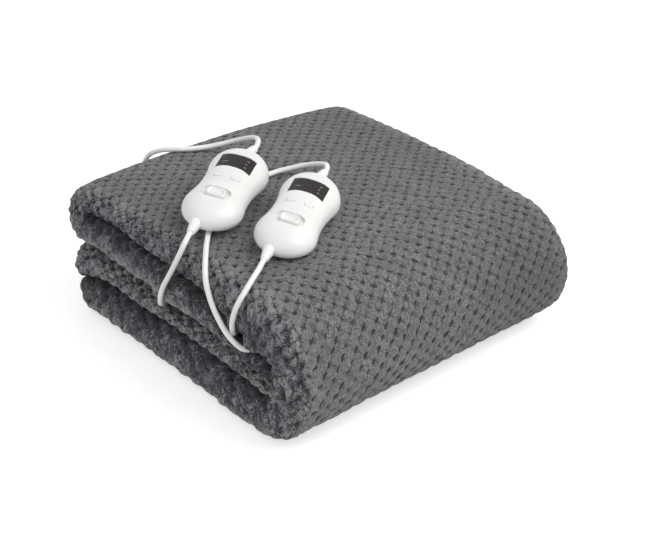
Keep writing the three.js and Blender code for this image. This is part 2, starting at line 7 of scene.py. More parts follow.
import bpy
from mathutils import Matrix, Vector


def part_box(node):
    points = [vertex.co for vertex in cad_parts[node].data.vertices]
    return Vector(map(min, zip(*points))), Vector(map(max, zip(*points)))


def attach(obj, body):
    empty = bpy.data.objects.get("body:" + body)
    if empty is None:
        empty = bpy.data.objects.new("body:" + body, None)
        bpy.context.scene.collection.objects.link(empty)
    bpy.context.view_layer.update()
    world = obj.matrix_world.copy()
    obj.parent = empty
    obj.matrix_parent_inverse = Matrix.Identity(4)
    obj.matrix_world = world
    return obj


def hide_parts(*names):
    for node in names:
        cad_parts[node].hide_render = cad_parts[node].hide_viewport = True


bl_info = {
    "name": "Folded heated mattress pad",
    "version": (1, 0, 0),
    "blender": (4, 5, 0),
    "location": "3D View > Sidebar > Heated Pad",
    "description": "Builds the plush pad, its handsets, leads and plug around the packed model",
    "category": "Object",
}

from math import asin, atan2, copysign, cos, hypot, pi, radians, sin

import bmesh
import bpy
import numpy as np
from bpy.props import FloatProperty, FloatVectorProperty, PointerProperty
from mathutils import Matrix, Quaternion, Vector, noise

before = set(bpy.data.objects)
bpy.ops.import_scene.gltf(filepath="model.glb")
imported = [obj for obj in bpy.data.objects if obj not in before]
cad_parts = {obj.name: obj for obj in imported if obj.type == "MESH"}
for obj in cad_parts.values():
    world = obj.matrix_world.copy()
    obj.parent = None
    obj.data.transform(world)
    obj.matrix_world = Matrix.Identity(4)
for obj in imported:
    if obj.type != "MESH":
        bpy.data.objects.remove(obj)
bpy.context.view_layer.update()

GAP = 0.0003  # running gap between two pieces
MERGE, CLOTH_MERGE = 1e-6, 2e-5  # points nearer than this are one, and on the cloth

# Heights of the folded stack at its four corners, and the crown between them.
CORNER_HEIGHT = {
    "front_left": 0.147, "back_left": 0.136, "front_right": 0.119, "back_right": 0.108,
}
CROWN = 0.008

# Heights of the three creases between the four layers, at places along Y from the back.
CREASES = (
    (0.178, 0.035, 0.076, 0.108),
    (0.100, 0.038, 0.073, 0.109),
    (0.055, 0.039, 0.070, 0.105),
    (0.005, 0.042, 0.067, 0.102),
    (-0.040, 0.042, 0.069, 0.098),
    (-0.078, 0.039, 0.070, 0.084),
    (-0.104, 0.041, 0.066, 0.077),
    (-0.128, 0.042, 0.060, 0.074),
)
CREASE_GAP = 0.003

# How far the side edges of each layer stay inside the pad's width: left and right.
BOTTOM, LOWER, UPPER, TOP = range(4)
LAYER_INSETS = ((0, 0.004), (0.005, 0), (0.001, 0.005), (0.004, 0.002))

# Where each fold of the band ends along Y.
REACH = {"outer_fold": -0.178, "inner_fold": -0.141, "back_fold": 0.1773}

# Stations along a layer, round a fold and at a free end.
RUN_STEPS, FOLD_STEPS, END_STEPS = 150, 80, 14
SHOWN_FROM, SHOWN_TO = -0.300, 0.245  # the part of the band's outer face that shows
UNDERSIDE, UNDERSIDE_BLEND = -0.235, 0.06  # where the band turns under the pad

# How far the fine mesh goes before a side edge, after it, and in from a free end.
FINE_BEFORE, FINE_AFTER, FINE_END = 0.010, 0.006, 0.018

# The free ends of the band, at the back: how far each reaches along Y, the length of its
# rounding, and where its tip lies in the layer, from -0.5, its upper face, to 0.5, its lower.
FREE_ENDS = {
    "lower": {"reach": 0.175, "length": 0.014, "dip": 0.25},
    "bottom": {"reach": 0.166, "length": 0.018, "dip": -0.2},
}

# The puffed cells lie in diamonds. Across the band a cell has one length, and along it the
# cloth is stretched: a place along the band, and the cell lengths of both diagonals there.
# The place is the distance along the band from the middle of the upper face.
CELL_ACROSS = 0.0158
CELLS_ALONG = (
    (-0.640, 0.0200, 0.0190), (-0.300, 0.0240, 0.0190), (-0.236, 0.0240, 0.0155),
    (-0.211, 0.0210, 0.0140), (-0.186, 0.0162, 0.0130), (-0.161, 0.0138, 0.0130),
    (-0.136, 0.0135, 0.0160), (-0.110, 0.0135, 0.0210), (-0.080, 0.0135, 0.0210),
    (-0.050, 0.0135, 0.0167), (-0.020, 0.0135, 0.0136), (0.010, 0.0135, 0.0122),
    (0.040, 0.0135, 0.0121), (0.070, 0.0135, 0.0130), (0.100, 0.0135, 0.0143),
    (0.200, 0.0135, 0.0140), (0.500, 0.0150, 0.0150), (0.900, 0.0160, 0.0160),
)

# Where the band folds, its side edges carry cells of this size along Y and Z instead.
SIDE_CELL = (0.0150, 0.0135)

# The side edge of each layer, from the bottom one up: how much painted shade, rather than painted
# sheen, it carries at its foot, its middle and its top, and how smooth it is, without cells, from
# about 0 to 1.
SIDE_LOOK = (
    (0.05, 0.66, 1.05, 0.60), (0.45, 0.50, 0.75, 0.10), (0.00, 0.50, 1.00, 0.90),
    (0.95, 0.58, 0.30, 0.10),
)

# How far inside a side edge its roll and its own cells start, and how far they blend in over.
ROLL_BLEND, SIDE_BLEND, END_BLEND = (0.012, 0.022), (0.003, 0.008), 0.008

# Sizes of the soft lumps that the rows of cells wander by, that make the relief uneven and the
# cloth hollow, and of the tufts on the smooth side edges.
WANDER_SIZE, UNEVEN_SIZE, HOLLOW_SIZE, TUFT_SIZE = 0.016, 0.018, 0.055, 0.0105
TUFT_HEIGHT, PILE_DEPTH = 0.0026, 0.0018
ROW_WANDER = 0.09  # how far the rows wander in the mesh, in cells
ROW_SWAY = 0.34  # how far they wander in the finish, in cells

# How rough the relief is on the underside and on the right side, where the left side is 1.
ROUGH_UNDERSIDE, ROUGH_RIGHT = 0.5, 0.3

# Soft hollows pressed into the folded pad, and humps where the depth is below zero: the middle,
# the radii along X, Y and Z, the depth, and how much painted shade darkens the plush there.
HOLLOWS = (
    ((0.068, -0.172, 0.121), (0.014, 0.030, 0.013), 0.0022, 0.35),
    ((0.083, -0.178, 0.100), (0.015, 0.030, 0.013), 0.0026, 0.45),
    ((0.098, -0.178, 0.081), (0.014, 0.030, 0.012), 0.0022, 0.35),
    ((-0.176, -0.1475, 0.061), (0.022, 0.0055, 0.0095), 0.0110, 1.00),
    # painted shade alone, without a hollow
    ((0.125, -0.155, 0.070), (0.085, 0.080, 0.060), 0, 0.46),
    ((0.150, 0.080, 0.115), (0.100, 0.170, 0.050), 0, 0.28),
    ((-0.162, 0.050, 0.150), (0.036, 0.170, 0.040), 0, 0.26),
    ((-0.172, -0.124, 0.104), (0.030, 0.028, 0.026), 0, 0.50),
    # pile that stands up round the ends of the leads, and where the two free ends meet
    ((-0.1670, 0.0290, 0.0790), (0.0080, 0.0060, 0.0060), -0.0040, 0.10),
    ((-0.1690, -0.1035, 0.0890), (0.0090, 0.0090, 0.0080), -0.0095, 0.10),
    ((-0.1665, -0.0770, 0.0965), (0.0080, 0.0070, 0.0070), -0.0065, 0.10),
    ((-0.1650, 0.1650, 0.0360), (0.0240, 0.0170, 0.0110), -0.0080, 0.35),
)

# The nest of thin hems in the front corner: its middle, how far it spreads, and its ridges.
HEM_NEST = {
    "middle": (-0.175, -0.157, 0.024), "spread": 0.023, "spacing": 0.0066, "height": 0.0021,
}

# From the flat base up over the parting line to the crown of the handset: how far each level
# is drawn in, and its height.
HANDSET_LEVELS = (
    (0.0065, 0), (0.003, 0.0012), (0.0008, 0.0042), (0, 0.008), (0.0004, 0.0115),
    (0.0016, 0.015), (0.0038, 0.0183), (0.007, 0.0213), (0.011, 0.0236), (0.016, 0.0253),
    (0.021, 0.026), (0.0243, 0.0261),
)
WINDOW = {
    "middle": 0.0243, "width": 0.034, "length": 0.0195, "arch": 0.0019, "sunk": 0.0005,
    "thick": 0.0016,
}
# The level marks on the window: the middle of each and half its size, down and across it.
MARKS = (
    ((0.74, 0.20), (0.035, 0.032)), ((0.50, 0.22), (0.035, 0.026)),
    ((0.26, 0.20), (0.035, 0.032)), ((0.40, 0.80), (0.025, 0.080)),
)
MARK_COLOUR = (0.55, 0.52, 0.50, 1)
BUTTON = {
    "at": -0.0005, "side": 0.0085, "width": 0.0084, "length": 0.0056, "corner": 0.0012,
    "proud": 0.0007, "thick": 0.003, "travel": 0.0008, "soft": 0.0006,
}
SWITCH = {
    "middle": -0.026, "width": 0.019, "length": 0.012, "floor": 0.0204, "proud": 0.0012,
    "travel": 0.003, "corner": 0.004,
}
RECESS = {"end_room": 0.001, "side_room": 0.0016, "corner": 0.005, "top": 0.060}
# Up the switch's thumb piece: how far it is drawn in, and its height as a share of the whole.
THUMB_STEPS = (
    (0, 0.4), (0.0003, 0.85), (0.0009, 1.0), (0.0018, 1.0), (0.0026, 0.80), (0.0036, 0.62),
)
CUTTER_OVER = 0.020  # how far a cutter stands out of the shell
FLOW_MARKS, GRAIN_DEPTH = 38.0, 0.0001  # in moulded plastic: flow marks to a metre, and grain
PLUG_BACK_WIDTH = 0.013

# The handsets' places on the pad: the middle, the heading from +X, how far the screen end
# is tipped up and the side rolled down in the deep pile, and how far the middle is off the pad.
HANDSETS = {
    "left": {"x": -0.0976, "y": 0.0164, "heading": 30, "tilt": 3, "roll": 7, "lift": 0.0102},
    "right": {"x": -0.0709, "y": -0.0531, "heading": 30, "tilt": 3, "roll": 7, "lift": 0.0044},
}

# Where each sleeve starts on its handset, how it is turned about the handset's up axis, its
# dip and its length.
SLEEVES = {
    "top": {"at": (0.058, 0.0015, 0.015), "turn": -1, "dip": 6, "length": 0.017},
    "low": {"at": (-0.0568, 0.0055, 0.0068), "turn": 182, "dip": 6, "length": 0.0145},
}

# The leads, as the points that their middle lines follow after they leave a sleeve.
# From the left handset over the back of the pad to the coil.
MAINS_LEFT = (
    (-0.0169, 0.068, 0.1698), (-0.0111, 0.0787, 0.1657), (-0.0089, 0.0898, 0.1605),
    (-0.0102, 0.1014, 0.1547), (-0.015, 0.1125, 0.149), (-0.024, 0.1235, 0.144),
    (-0.0355, 0.133, 0.1412), (-0.048, 0.1415, 0.1406), (-0.058, 0.1515, 0.1398),
    (-0.065, 0.163, 0.1362), (-0.0695, 0.1755, 0.127), (-0.072, 0.1825, 0.111),
    (-0.0725, 0.1848, 0.091), (-0.071, 0.1855, 0.068), (-0.0675, 0.1875, 0.045),
    (-0.061, 0.1915, 0.026), (-0.048, 0.196, 0.016), (-0.033, 0.199, 0.0104),
    (-0.020, 0.2002, 0.0083), (-0.0104, 0.2004, 0.0079),
)
# From the right handset, under the left one, and over the side into the fold.
MAINS_RIGHT = (
    (0.0038, -0.008, 0.1674), (0.0075, 0.0031, 0.1628), (0.0079, 0.0147, 0.1576),
    (0.0042, 0.0259, 0.1528), (-0.0045, 0.035, 0.149), (-0.016, 0.0405, 0.1474),
    (-0.029, 0.0415, 0.1474), (-0.047, 0.037, 0.1486), (-0.0705, 0.0285, 0.150),
    (-0.0965, 0.0165, 0.1514), (-0.121, 0.002, 0.1526), (-0.137, -0.0105, 0.1532),
    (-0.151, -0.025, 0.1534), (-0.163, -0.039, 0.1525), (-0.1711, -0.0484, 0.1471),
    (-0.1753, -0.0543, 0.1383), (-0.1762, -0.0582, 0.1287), (-0.1767, -0.065, 0.1172),
    (-0.1769, -0.0737, 0.1074), (-0.1767, -0.0837, 0.0987), (-0.1742, -0.0915, 0.0917),
    (-0.1699, -0.0968, 0.0863), (-0.1648, -0.0999, 0.084),
)
# From the low ends of the handsets over the side into the folds.
PAD_LEAD_LEFT = (
    (-0.1726, -0.0199, 0.1574), (-0.1759, -0.0156, 0.1444), (-0.1762, -0.0072, 0.1291),
    (-0.176, 0.0016, 0.1146), (-0.1764, 0.0088, 0.102), (-0.1773, 0.012, 0.093),
    (-0.1766, 0.0148, 0.0846), (-0.1736, 0.0186, 0.0772), (-0.1689, 0.0228, 0.0732),
    (-0.1634, 0.0268, 0.072),
)
PAD_LEAD_RIGHT = (
    (-0.1486, -0.0944, 0.1577), (-0.1583, -0.0982, 0.1542), (-0.1665, -0.100, 0.1482),
    (-0.1723, -0.0996, 0.1414), (-0.1748, -0.0968, 0.133), (-0.1752, -0.093, 0.123),
    (-0.1749, -0.0898, 0.1134), (-0.1726, -0.0865, 0.1034), (-0.1688, -0.0827, 0.0954),
    (-0.1636, -0.0784, 0.091),
)

# The rest of the mains lead, wound flat on the floor behind the pad: half of the turns run
# inwards on top, and the other half outwards under them, after a drop of part of a turn.
COIL = {
    "x": 0.010, "y": 0.240, "inner_radius": 0.0192, "turns": 8, "points_per_turn": 18,
    "drop": 0.3,
}


# --- settings ---
def number_setting(name, description, default, **limits):
    return FloatProperty(name=name, description=description, default=default, **limits)


def length_setting(name, description, default):
    return number_setting(
        name, description, default, min=0, unit="LENGTH", subtype="DISTANCE", precision=4)


def colour_setting(name, description, default):
    return FloatVectorProperty(
        name=name, description=description, default=(*default, 1.0), size=4, subtype="COLOR",
        min=0, max=1)


def bearing_setting(name, description, azimuth, elevation):
    return FloatVectorProperty(
        name=name, description=description, size=2, unit="ROTATION", subtype="EULER",
        default=(radians(azimuth), radians(elevation)))


class PadSettings(bpy.types.PropertyGroup):
    """Sizes and colours of the folded pad."""

    width: length_setting("Width", "Size of the folded pad across its band", 0.350)
    depth: length_setting("Depth", "Size of the folded pad from fold to fold", 0.356)
    stack: length_setting("Stack", "Height of the four layers before the corners differ", 0.140)
    edge_reach: length_setting("Edge Reach", "How far the roll of each side edge comes in", 0.017)
    edge_length: length_setting("Edge Length", "Cloth round the roll of a side edge", 0.054)
    edge_power: number_setting(
        "Edge Power", "Shape of the side edges, 2 for round and more for squarer", 2.3, min=1.5,
        max=6)
    end_drawn_in: length_setting("End Drawn In", "How far the free ends are drawn in", 0.014)
    coarse: length_setting("Coarse Step", "Mesh size where the cloth is hidden", 0.0088)
    valley_depth: length_setting("Valley Depth", "Depth of the valleys between the cells", 0.0004)
    pit_depth: length_setting("Pit Depth", "Depth of the pits at the corners of the cells", 0.0014)
    unevenness: length_setting("Unevenness", "Depth of the soft hollows in the cloth", 0.0022)
    colour: colour_setting("Colour", "Lit fibres of the plush", (0.248, 0.247, 0.250))
    dark_colour: colour_setting("Dark Colour", "Shaded fibres of the plush", (0.084, 0.083, 0.086))
    # Painted highlight on the tops of the tufts
    tuft_highlight_colour: colour_setting("Light Colour", "Tips of the tufts", (0.370, 0.369, 0.372))
    # Painted shade at the bottom of the pits and along the valleys between the cells
    pit_shade_colour: colour_setting("Pit Colour", "Bottom of the pits", (0.014, 0.014, 0.016))
    # Painted shade: the shaded upper parts of the side rolls, and the dimmed hollows of the plush
    painted_shade_colour: colour_setting(
        "Roll Colour", "Plush on the side rolls where its nap lies away", (0.034, 0.032, 0.040))
    # Painted sheen on the lower lips of the side rolls
    painted_sheen_colour: colour_setting(
        "Roll Light Colour", "Plush on the side rolls where it shines", (0.350, 0.345, 0.358))


class HandsetSettings(bpy.types.PropertyGroup):
    """Sizes and colours of the two handsets."""

    lobe_radius: length_setting("Lobe Radius", "Radius of both round ends", 0.0285)
    lobe_offset: length_setting("Lobe Offset", "From the middle to each round end's centre", 0.0305)
    waist: length_setting("Waist", "Half the width at the middle", 0.025)
    parting: length_setting("Parting", "Height at which the shell is widest", 0.008)
    rise: number_setting(
        "Rise", "How much deeper the screen end is than the middle", 0.2, min=0, max=1)
    shell_colour: colour_setting("Shell Colour", "Shell, buttons and switch", (0.84, 0.84, 0.83))
    window_colour: colour_setting("Window Colour", "Display window", (0.030, 0.026, 0.024))


class LeadSettings(bpy.types.PropertyGroup):
    """Size and colour of the leads."""

    diameter: length_setting("Diameter", "Diameter of every lead", 0.005)
    colour: colour_setting("Colour", "Leads, their sleeves and the plug", (0.93, 0.93, 0.92))


class StageSettings(bpy.types.PropertyGroup):
    """Camera, lamps, sky and floor."""

    view_from: bearing_setting("View From", "Azimuth and elevation of the camera", -40.7, 33.0)
    distance: length_setting("Distance", "From the camera to the point it looks at", 1.7905)
    target: FloatVectorProperty(
        name="Target", description="Point that the camera looks at",
        default=(-0.0122, -0.0241, 0.060), unit="LENGTH", subtype="XYZ")
    lens: number_setting("Lens", "Focal length of the camera in millimetres", 104.1)
    key_from: bearing_setting("Key From", "Azimuth and elevation of the key lamp", 35, 52)
    key_power: number_setting("Key Power", "Power of the key lamp in watts", 29)
    fill_from: bearing_setting("Fill From", "Azimuth and elevation of the fill lamp", -75, 40)
    fill_power: number_setting("Fill Power", "Power of the fill lamp in watts", 8.6)
    sky_strength: number_setting("Sky Strength", "Even light from all round", 0.53)
    floor_size: length_setting("Floor Size", "Side of the square floor", 8.0)
    floor_colour: colour_setting("Floor Colour", "Colour of the floor", (0.84, 0.84, 0.84))
    floor_lift: number_setting("Floor Lift", "How much whiter the camera sees the floor", 0.56)


# --- small helpers ---
def mix(low, high, share):
    return low + (high - low) * share


def smooth(share):
    """An eased share that stays at 0 before its start and at 1 after its end."""
    share = np.clip(share, 0, 1)
    return share * share * (3 - 2 * share)


def bearing(azimuth, elevation):
    """The way to something seen at an azimuth from the front and an elevation."""
    flat = cos(elevation)
    return Vector((sin(azimuth) * flat, -cos(azimuth) * flat, sin(elevation)))


def link(obj):
    bpy.context.scene.collection.objects.link(obj)
    return obj


def piece(bm, name, material, place=None, sharp=40):
    """A finished object from a mesh in the making, at the origin, smooth but for sharp edges."""
    if place is not None:
        bm.transform(place)
    bmesh.ops.remove_doubles(bm, verts=bm.verts, dist=MERGE)
    bmesh.ops.recalc_face_normals(bm, faces=bm.faces)
    for face in bm.faces:
        face.smooth = True
    for edge in bm.edges:
        edge.smooth = edge.calc_face_angle(0) < radians(sharp)
    mesh = bpy.data.meshes.new(name)
    bm.to_mesh(mesh)
    bm.free()
    mesh.materials.append(material)
    return link(bpy.data.objects.new(name, mesh))


def stand_for(made, node, slot, body="pad"):
    """Lets a piece stand for its solid and hangs it on its body; the slot is not used."""
    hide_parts(node)
    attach(made, body)


def raised(outline, height):
    """The points of an outline, each at the height that a function gives for its place."""
    return [(x, y, height(x, y)) for x, y in outline]


def loft(rings):
    """A solid that is skinned over closed rings of points, one after another."""
    bm = bmesh.new()
    loops = []
    for points in rings:
        verts = [bm.verts.new(point) for point in points]
        loops.append([bm.edges.new(pair) for pair in zip(verts, verts[1:] + verts[:1])])
    for low, high in zip(loops, loops[1:]):
        bmesh.ops.bridge_loops(bm, edges=low + high)
    for end in (loops[0], loops[-1]):
        bmesh.ops.contextual_create(bm, geom=end)
    return bm


def turned(profile, steps=32):
    """A solid turned about the x axis from points, each a distance along it and a radius."""
    bm = bmesh.new()
    verts = [bm.verts.new((x, 0, radius)) for x, radius in profile]
    edges = [bm.edges.new(pair) for pair in zip(verts, verts[1:])]
    bmesh.ops.spin(
        bm, geom=verts + edges, axis=(1, 0, 0), cent=(0, 0, 0), angle=2 * pi, steps=steps,
        use_merge=True)
    bmesh.ops.remove_doubles(bm, verts=bm.verts, dist=MERGE)
    return bm


def ribbed(length, start, end, count, steps):
    """Points along a ribbed sleeve that goes from one radius to another. Each rib's steps are
    a share of its length and how far the radius is drawn in there."""
    return [
        (length * (i + share) / count, mix(start, end, i / (count - 1)) - drawn_in)
        for i in range(count) for share, drawn_in in steps]


def rounded_outline(middle, length, width, corner, steps=5):
    """Points round a rectangle with rounded corners."""
    points = []
    for quarter, (side_x, side_y) in enumerate(((1, 1), (-1, 1), (-1, -1), (1, -1))):
        for i in range(steps + 1):
            angle = pi / 2 * (quarter + i / steps)
            points.append((
                middle[0] + side_x * (length / 2 - corner) + corner * cos(angle),
                middle[1] + side_y * (width / 2 - corner) + corner * sin(angle)))
    return points


# --- materials ---
class Nodes:
    """Adds nodes to one tree. Each input is a value or another node's output."""

    def __init__(self, tree):
        self.tree = tree

    def put(self, sockets, inputs):
        for name, value in inputs.items():
            if isinstance(value, bpy.types.NodeSocket):
                self.tree.links.new(value, sockets[name])
            else:
                sockets[name].default_value = value

    def shade(self, inputs):
        self.put(self.tree.nodes["Principled BSDF"].inputs, inputs)

    def add(self, kind, inputs=None, **settings):
        made = self.tree.nodes.new(f"ShaderNode{kind}")
        for name, value in settings.items():
            setattr(made, name, value)
        self.put(made.inputs, inputs or {})
        return made.outputs

    def math(self, operation, *values, clamp=False):
        inputs = dict(enumerate(values))
        return self.add("Math", inputs, operation=operation, use_clamp=clamp)[0]

    def plus(self, first, second):
        return self.math("ADD", first, second)

    def minus(self, first, second):
        return self.math("SUBTRACT", first, second)

    def times(self, first, second):
        return self.math("MULTIPLY", first, second)

    def ramp(self, value, low, high, to_low=0.0, to_high=1.0):
        """The value taken smoothly from one range to another."""
        return self.add("MapRange", {
            "Value": value, "From Min": low, "From Max": high, "To Min": to_low,
            "To Max": to_high}, interpolation_type="SMOOTHSTEP")["Result"]

    def blend(self, share, first, second):
        """A mix of two colours."""
        return self.add("Mix", {0: share, 6: first, 7: second}, data_type="RGBA")[2]

    def uv(self, name):
        return self.add("UVMap", uv_map=name)["UV"]

    def split(self, vector):
        return self.add("SeparateXYZ", {"Vector": vector})

    def noise(self, place, scale, detail=3.0, roughness=0.5, distortion=0.0):
        return self.add("TexNoise", {
            "Vector": place, "Scale": scale, "Detail": detail, "Roughness": roughness,
            "Distortion": distortion})

    def bump(self, height, strength, distance):
        return self.add(
            "Bump", {"Height": height, "Strength": strength, "Distance": distance})["Normal"]

    def not_lighting(self):
        """1 for the rays that show a surface or the sky, and 0 for those that light the pad."""
        rays = self.add("LightPath")
        seen = self.plus(rays["Is Camera Ray"], rays["Is Glossy Ray"])
        return self.math("ADD", seen, rays["Is Transmission Ray"], clamp=True)


def new_material(name):
    material = bpy.data.materials.new(name)
    material.use_nodes = True
    return material, Nodes(material.node_tree)


def moulded_finish():
    """The group that gives moulded plastic its faint flow marks, tone and fine grain."""
    name = "Moulded Finish"
    if name in bpy.data.node_groups:
        return bpy.data.node_groups[name]
    tree = bpy.data.node_groups.new(name, "ShaderNodeTree")
    for way, sockets in (
            ("INPUT", {"Colour": "Color", "Shade": "Color", "Grain Size": "Float",
                       "Gloss": "Float", "Spread": "Float"}),
            ("OUTPUT", {"Colour": "Color", "Roughness": "Float", "Height": "Float"})):
        for label, kind in sockets.items():
            tree.interface.new_socket(name=label, in_out=way, socket_type=f"NodeSocket{kind}")
    given = tree.nodes.new("NodeGroupInput").outputs
    gives = tree.nodes.new("NodeGroupOutput").inputs
    nodes = Nodes(tree)
    place = nodes.add("TexCoord")["Object"]
    density = nodes.math("DIVIDE", 1.0, given["Grain Size"])
    grain = nodes.noise(place, density, roughness=0.6)["Fac"]
    flow = nodes.noise(place, FLOW_MARKS, distortion=0.8)["Fac"]
    varied = nodes.times(nodes.minus(flow, 0.5), given["Spread"])
    nodes.put(gives, {
        "Colour": nodes.blend(nodes.ramp(flow, 0.35, 0.70), given["Colour"], given["Shade"]),
        "Roughness": nodes.plus(given["Gloss"], varied),
        "Height": grain})
    return tree


def plastic(name, colour, shade, grain_size, gloss, spread, bump, constants=None):
    """A moulded material, with the shader's own constants where they aren't plain."""
    material, nodes = new_material(name)
    finish = nodes.add("Group", {
        "Colour": colour, "Shade": (*shade, 1), "Grain Size": grain_size, "Gloss": gloss,
        "Spread": spread}, node_tree=moulded_finish())
    nodes.shade({
        "Base Color": finish["Colour"], "Roughness": finish["Roughness"],
        "Normal": nodes.bump(finish["Height"], bump, GRAIN_DEPTH), "Coat Roughness": 0.08})
    nodes.shade(constants or {})
    return material


def shell_material(handset):
    return plastic(
        "White shell", handset.shell_colour, (0.80, 0.81, 0.80), 0.0006, 0.34, 0.10, 0.25)


def lead_material(lead):
    return bpy.data.materials.get("White lead") or plastic(
        "White lead", lead.colour, (0.86, 0.86, 0.84), 0.0009, 0.46, 0.16, 0.35)


def pin_material():
    return plastic(
        "Plated pin", (0.62, 0.60, 0.56, 1), (0.52, 0.50, 0.47), 0.0004, 0.26, 0.20, 0.2,
        {"Metallic": 1.0})


def window_material(handset):
    """Smoky plastic with a few plain level marks printed under it."""
    material = plastic(
        "Dark window", handset.window_colour, (0.022, 0.019, 0.018), 0.0005, 0.16, 0.08, 0.05,
        {"Coat Weight": 0.05, "Specular IOR Level": 0.18})
    nodes = Nodes(material.node_tree)
    place = nodes.split(nodes.uv("face"))
    marks = 0.0
    for middle, half in MARKS:
        sides = []
        for way, middle_way, half_way in zip("XY", middle, half):
            away = nodes.math("ABSOLUTE", nodes.minus(place[way], middle_way))
            sides.append(nodes.ramp(away, half_way * 0.7, half_way * 1.3, 1.0, 0.0))
        marks = nodes.math("MAXIMUM", marks, nodes.times(*sides))
    shader = material.node_tree.nodes["Principled BSDF"]
    plain = shader.inputs["Base Color"].links[0].from_socket
    nodes.shade({"Base Color": nodes.blend(nodes.times(marks, 0.40), plain, MARK_COLOUR)})
    return material


def plush_material(pad):
    """Deep grey plush: puffed cells with painted shade in their pits, fine pile, painted highlights
    on the tufts, and painted shade and sheen on the rolls.
    """
    material, nodes = new_material("Grey plush")
    ramp, times, minus = nodes.ramp, nodes.times, nodes.minus
    cells = nodes.split(nodes.uv("cells"))
    pile = nodes.uv("pile")
    roll, roll_shade, velvet, dim = (
        nodes.add("Attribute", attribute_name=name)["Fac"]
        for name in ("roll", "roll_shade", "velvet", "dim"))

    def lumps(size, detail=2.0, stretch=(1, 1), roughness=0.6, distortion=0.0, out="Fac"):
        place = nodes.add("Mapping", {"Vector": pile, "Scale": (*stretch, 1.0)})["Vector"]
        return nodes.noise(place, 1 / size, detail, roughness, distortion)[out]

    def more(total, value, strength):
        """The total with a value added at some strength."""
        return nodes.math("MULTIPLY_ADD", value, strength, total)

    # How far each point is from the nearest line of each row of cells, which wanders a little.
    wander = nodes.split(lumps(0.0060, 3.0, out="Color"))
    first, second = (
        nodes.math("PINGPONG", more(minus(cells[way], ROW_SWAY / 2), wander[way], ROW_SWAY), 0.5)
        for way in "XY")
    wide = ramp(lumps(0.011, 1.0), 0.30, 0.70, 0.55, 1.45)

    def slit(across, half_width, lengthways, half_length):
        near = ramp(nodes.math("DIVIDE", across, wide), half_width * 0.35, half_width, 1.0, 0.0)
        short = ramp(
            nodes.math("DIVIDE", lengthways, wide), half_length * 0.45, half_length, 1.0, 0.0)
        return times(near, short)

    # The long way of a pit runs down the front of the pad, and across the cloth on its top.
    on_top = ramp(nodes.split(pile)["Y"], -0.230, -0.130)
    steep = times(slit(first, 0.125, second, 0.36), ramp(on_top, 0.0, 1.0, 1.0, 0.45))
    level = times(slit(second, 0.135, first, 0.30), ramp(on_top, 0.0, 1.0, 0.30, 0.95))
    pit = times(nodes.math("MAXIMUM", steep, level), minus(1.0, velvet))
    valley = times(
        ramp(nodes.math("MINIMUM", first, second), 0.010, 0.110, 1.0, 0.0),
        ramp(lumps(0.012), 0.38, 0.66, 0.08, 0.60))

    grain = lumps(0.0013, roughness=0.9)
    fibre = lumps(0.0030, stretch=(1.0, 0.55), roughness=0.8, distortion=0.8)
    tuft = lumps(0.0050, 3.0, distortion=0.6)
    streak = lumps(0.0078, 4.0, stretch=(0.40, 1.0), roughness=0.75, distortion=0.9)
    cloud = lumps(0.040)

    fuzz = more(times(grain, 0.58), fibre, 0.42)
    tone = nodes.blend(ramp(fuzz, 0.435, 0.565), pad.dark_colour, pad.colour)
    # Painted highlight where the tufts stand highest
    tone = nodes.blend(ramp(tuft, 0.56, 0.78, 0.0, 0.40), tone, pad.tuft_highlight_colour)
    tone = nodes.blend(ramp(cloud, 0.35, 0.65, 0.0, 0.22), tone, pad.dark_colour)
    # Painted shade on the upper parts of the rolls and painted sheen on their lower lips, broken by
    # real streaks in the pile
    swept = more(more(roll_shade, minus(streak, 0.5), 3.8), minus(fuzz, 0.5), 6.0)
    side = nodes.blend(ramp(swept, 0.16, 0.84), pad.painted_sheen_colour, pad.painted_shade_colour)
    tone = nodes.blend(times(roll, 0.85), tone, side)
    # Painted shade in the hollows, between the tufts and where the plush should lie in shadow
    tone = nodes.blend(times(dim, 0.9), tone, pad.painted_shade_colour)
    # Painted shade in the valleys, deeper on the rolls, and in the pits
    valley_shade = times(valley, ramp(roll, 0.0, 1.0, 0.60, 1.20))
    tone = nodes.blend(
        nodes.math("MAXIMUM", valley_shade, times(pit, 0.94)), tone, pad.pit_shade_colour)

    height = more(more(more(times(fuzz, 0.55), tuft, 0.8), pit, -0.7), valley, -0.4)
    nodes.shade({
        "Base Color": tone, "Normal": nodes.bump(height, 0.9, PILE_DEPTH),
        "Roughness": ramp(fuzz, 0.3, 0.7, 0.86, 0.98), "Sheen Weight": 0.25,
        "Sheen Roughness": 0.45, "Sheen Tint": (0.80, 0.80, 0.86, 1), "Specular IOR Level": 0.2})
    return material


# --- where things lie ---
def stack_share(pad, x, y):
    """Height of the stack over a point, as a share of its plain height."""
    u = x / pad.width + 0.5
    v = y / pad.depth + 0.5
    front, back = (
        mix(CORNER_HEIGHT[f"{end}_left"], CORNER_HEIGHT[f"{end}_right"], u)
        for end in ("front", "back"))
    crown = sum(CROWN * np.maximum(0, 1 - (2 * share - 1) ** 2) for share in (u, v))
    return (mix(front, back, v) + crown) / pad.stack


def pad_top(pad, x, y):
    return pad.stack * float(stack_share(pad, x, y))


def pad_normal(pad, x, y):
    """The way that the pad's upper face points, under something as long as a handset."""
    step = 0.030
    slope_x = (pad_top(pad, x + step, y) - pad_top(pad, x - step, y)) / (2 * step)
    slope_y = (pad_top(pad, x, y + step) - pad_top(pad, x, y - step)) / (2 * step)
    return Vector((-slope_x, -slope_y, 1)).normalized()


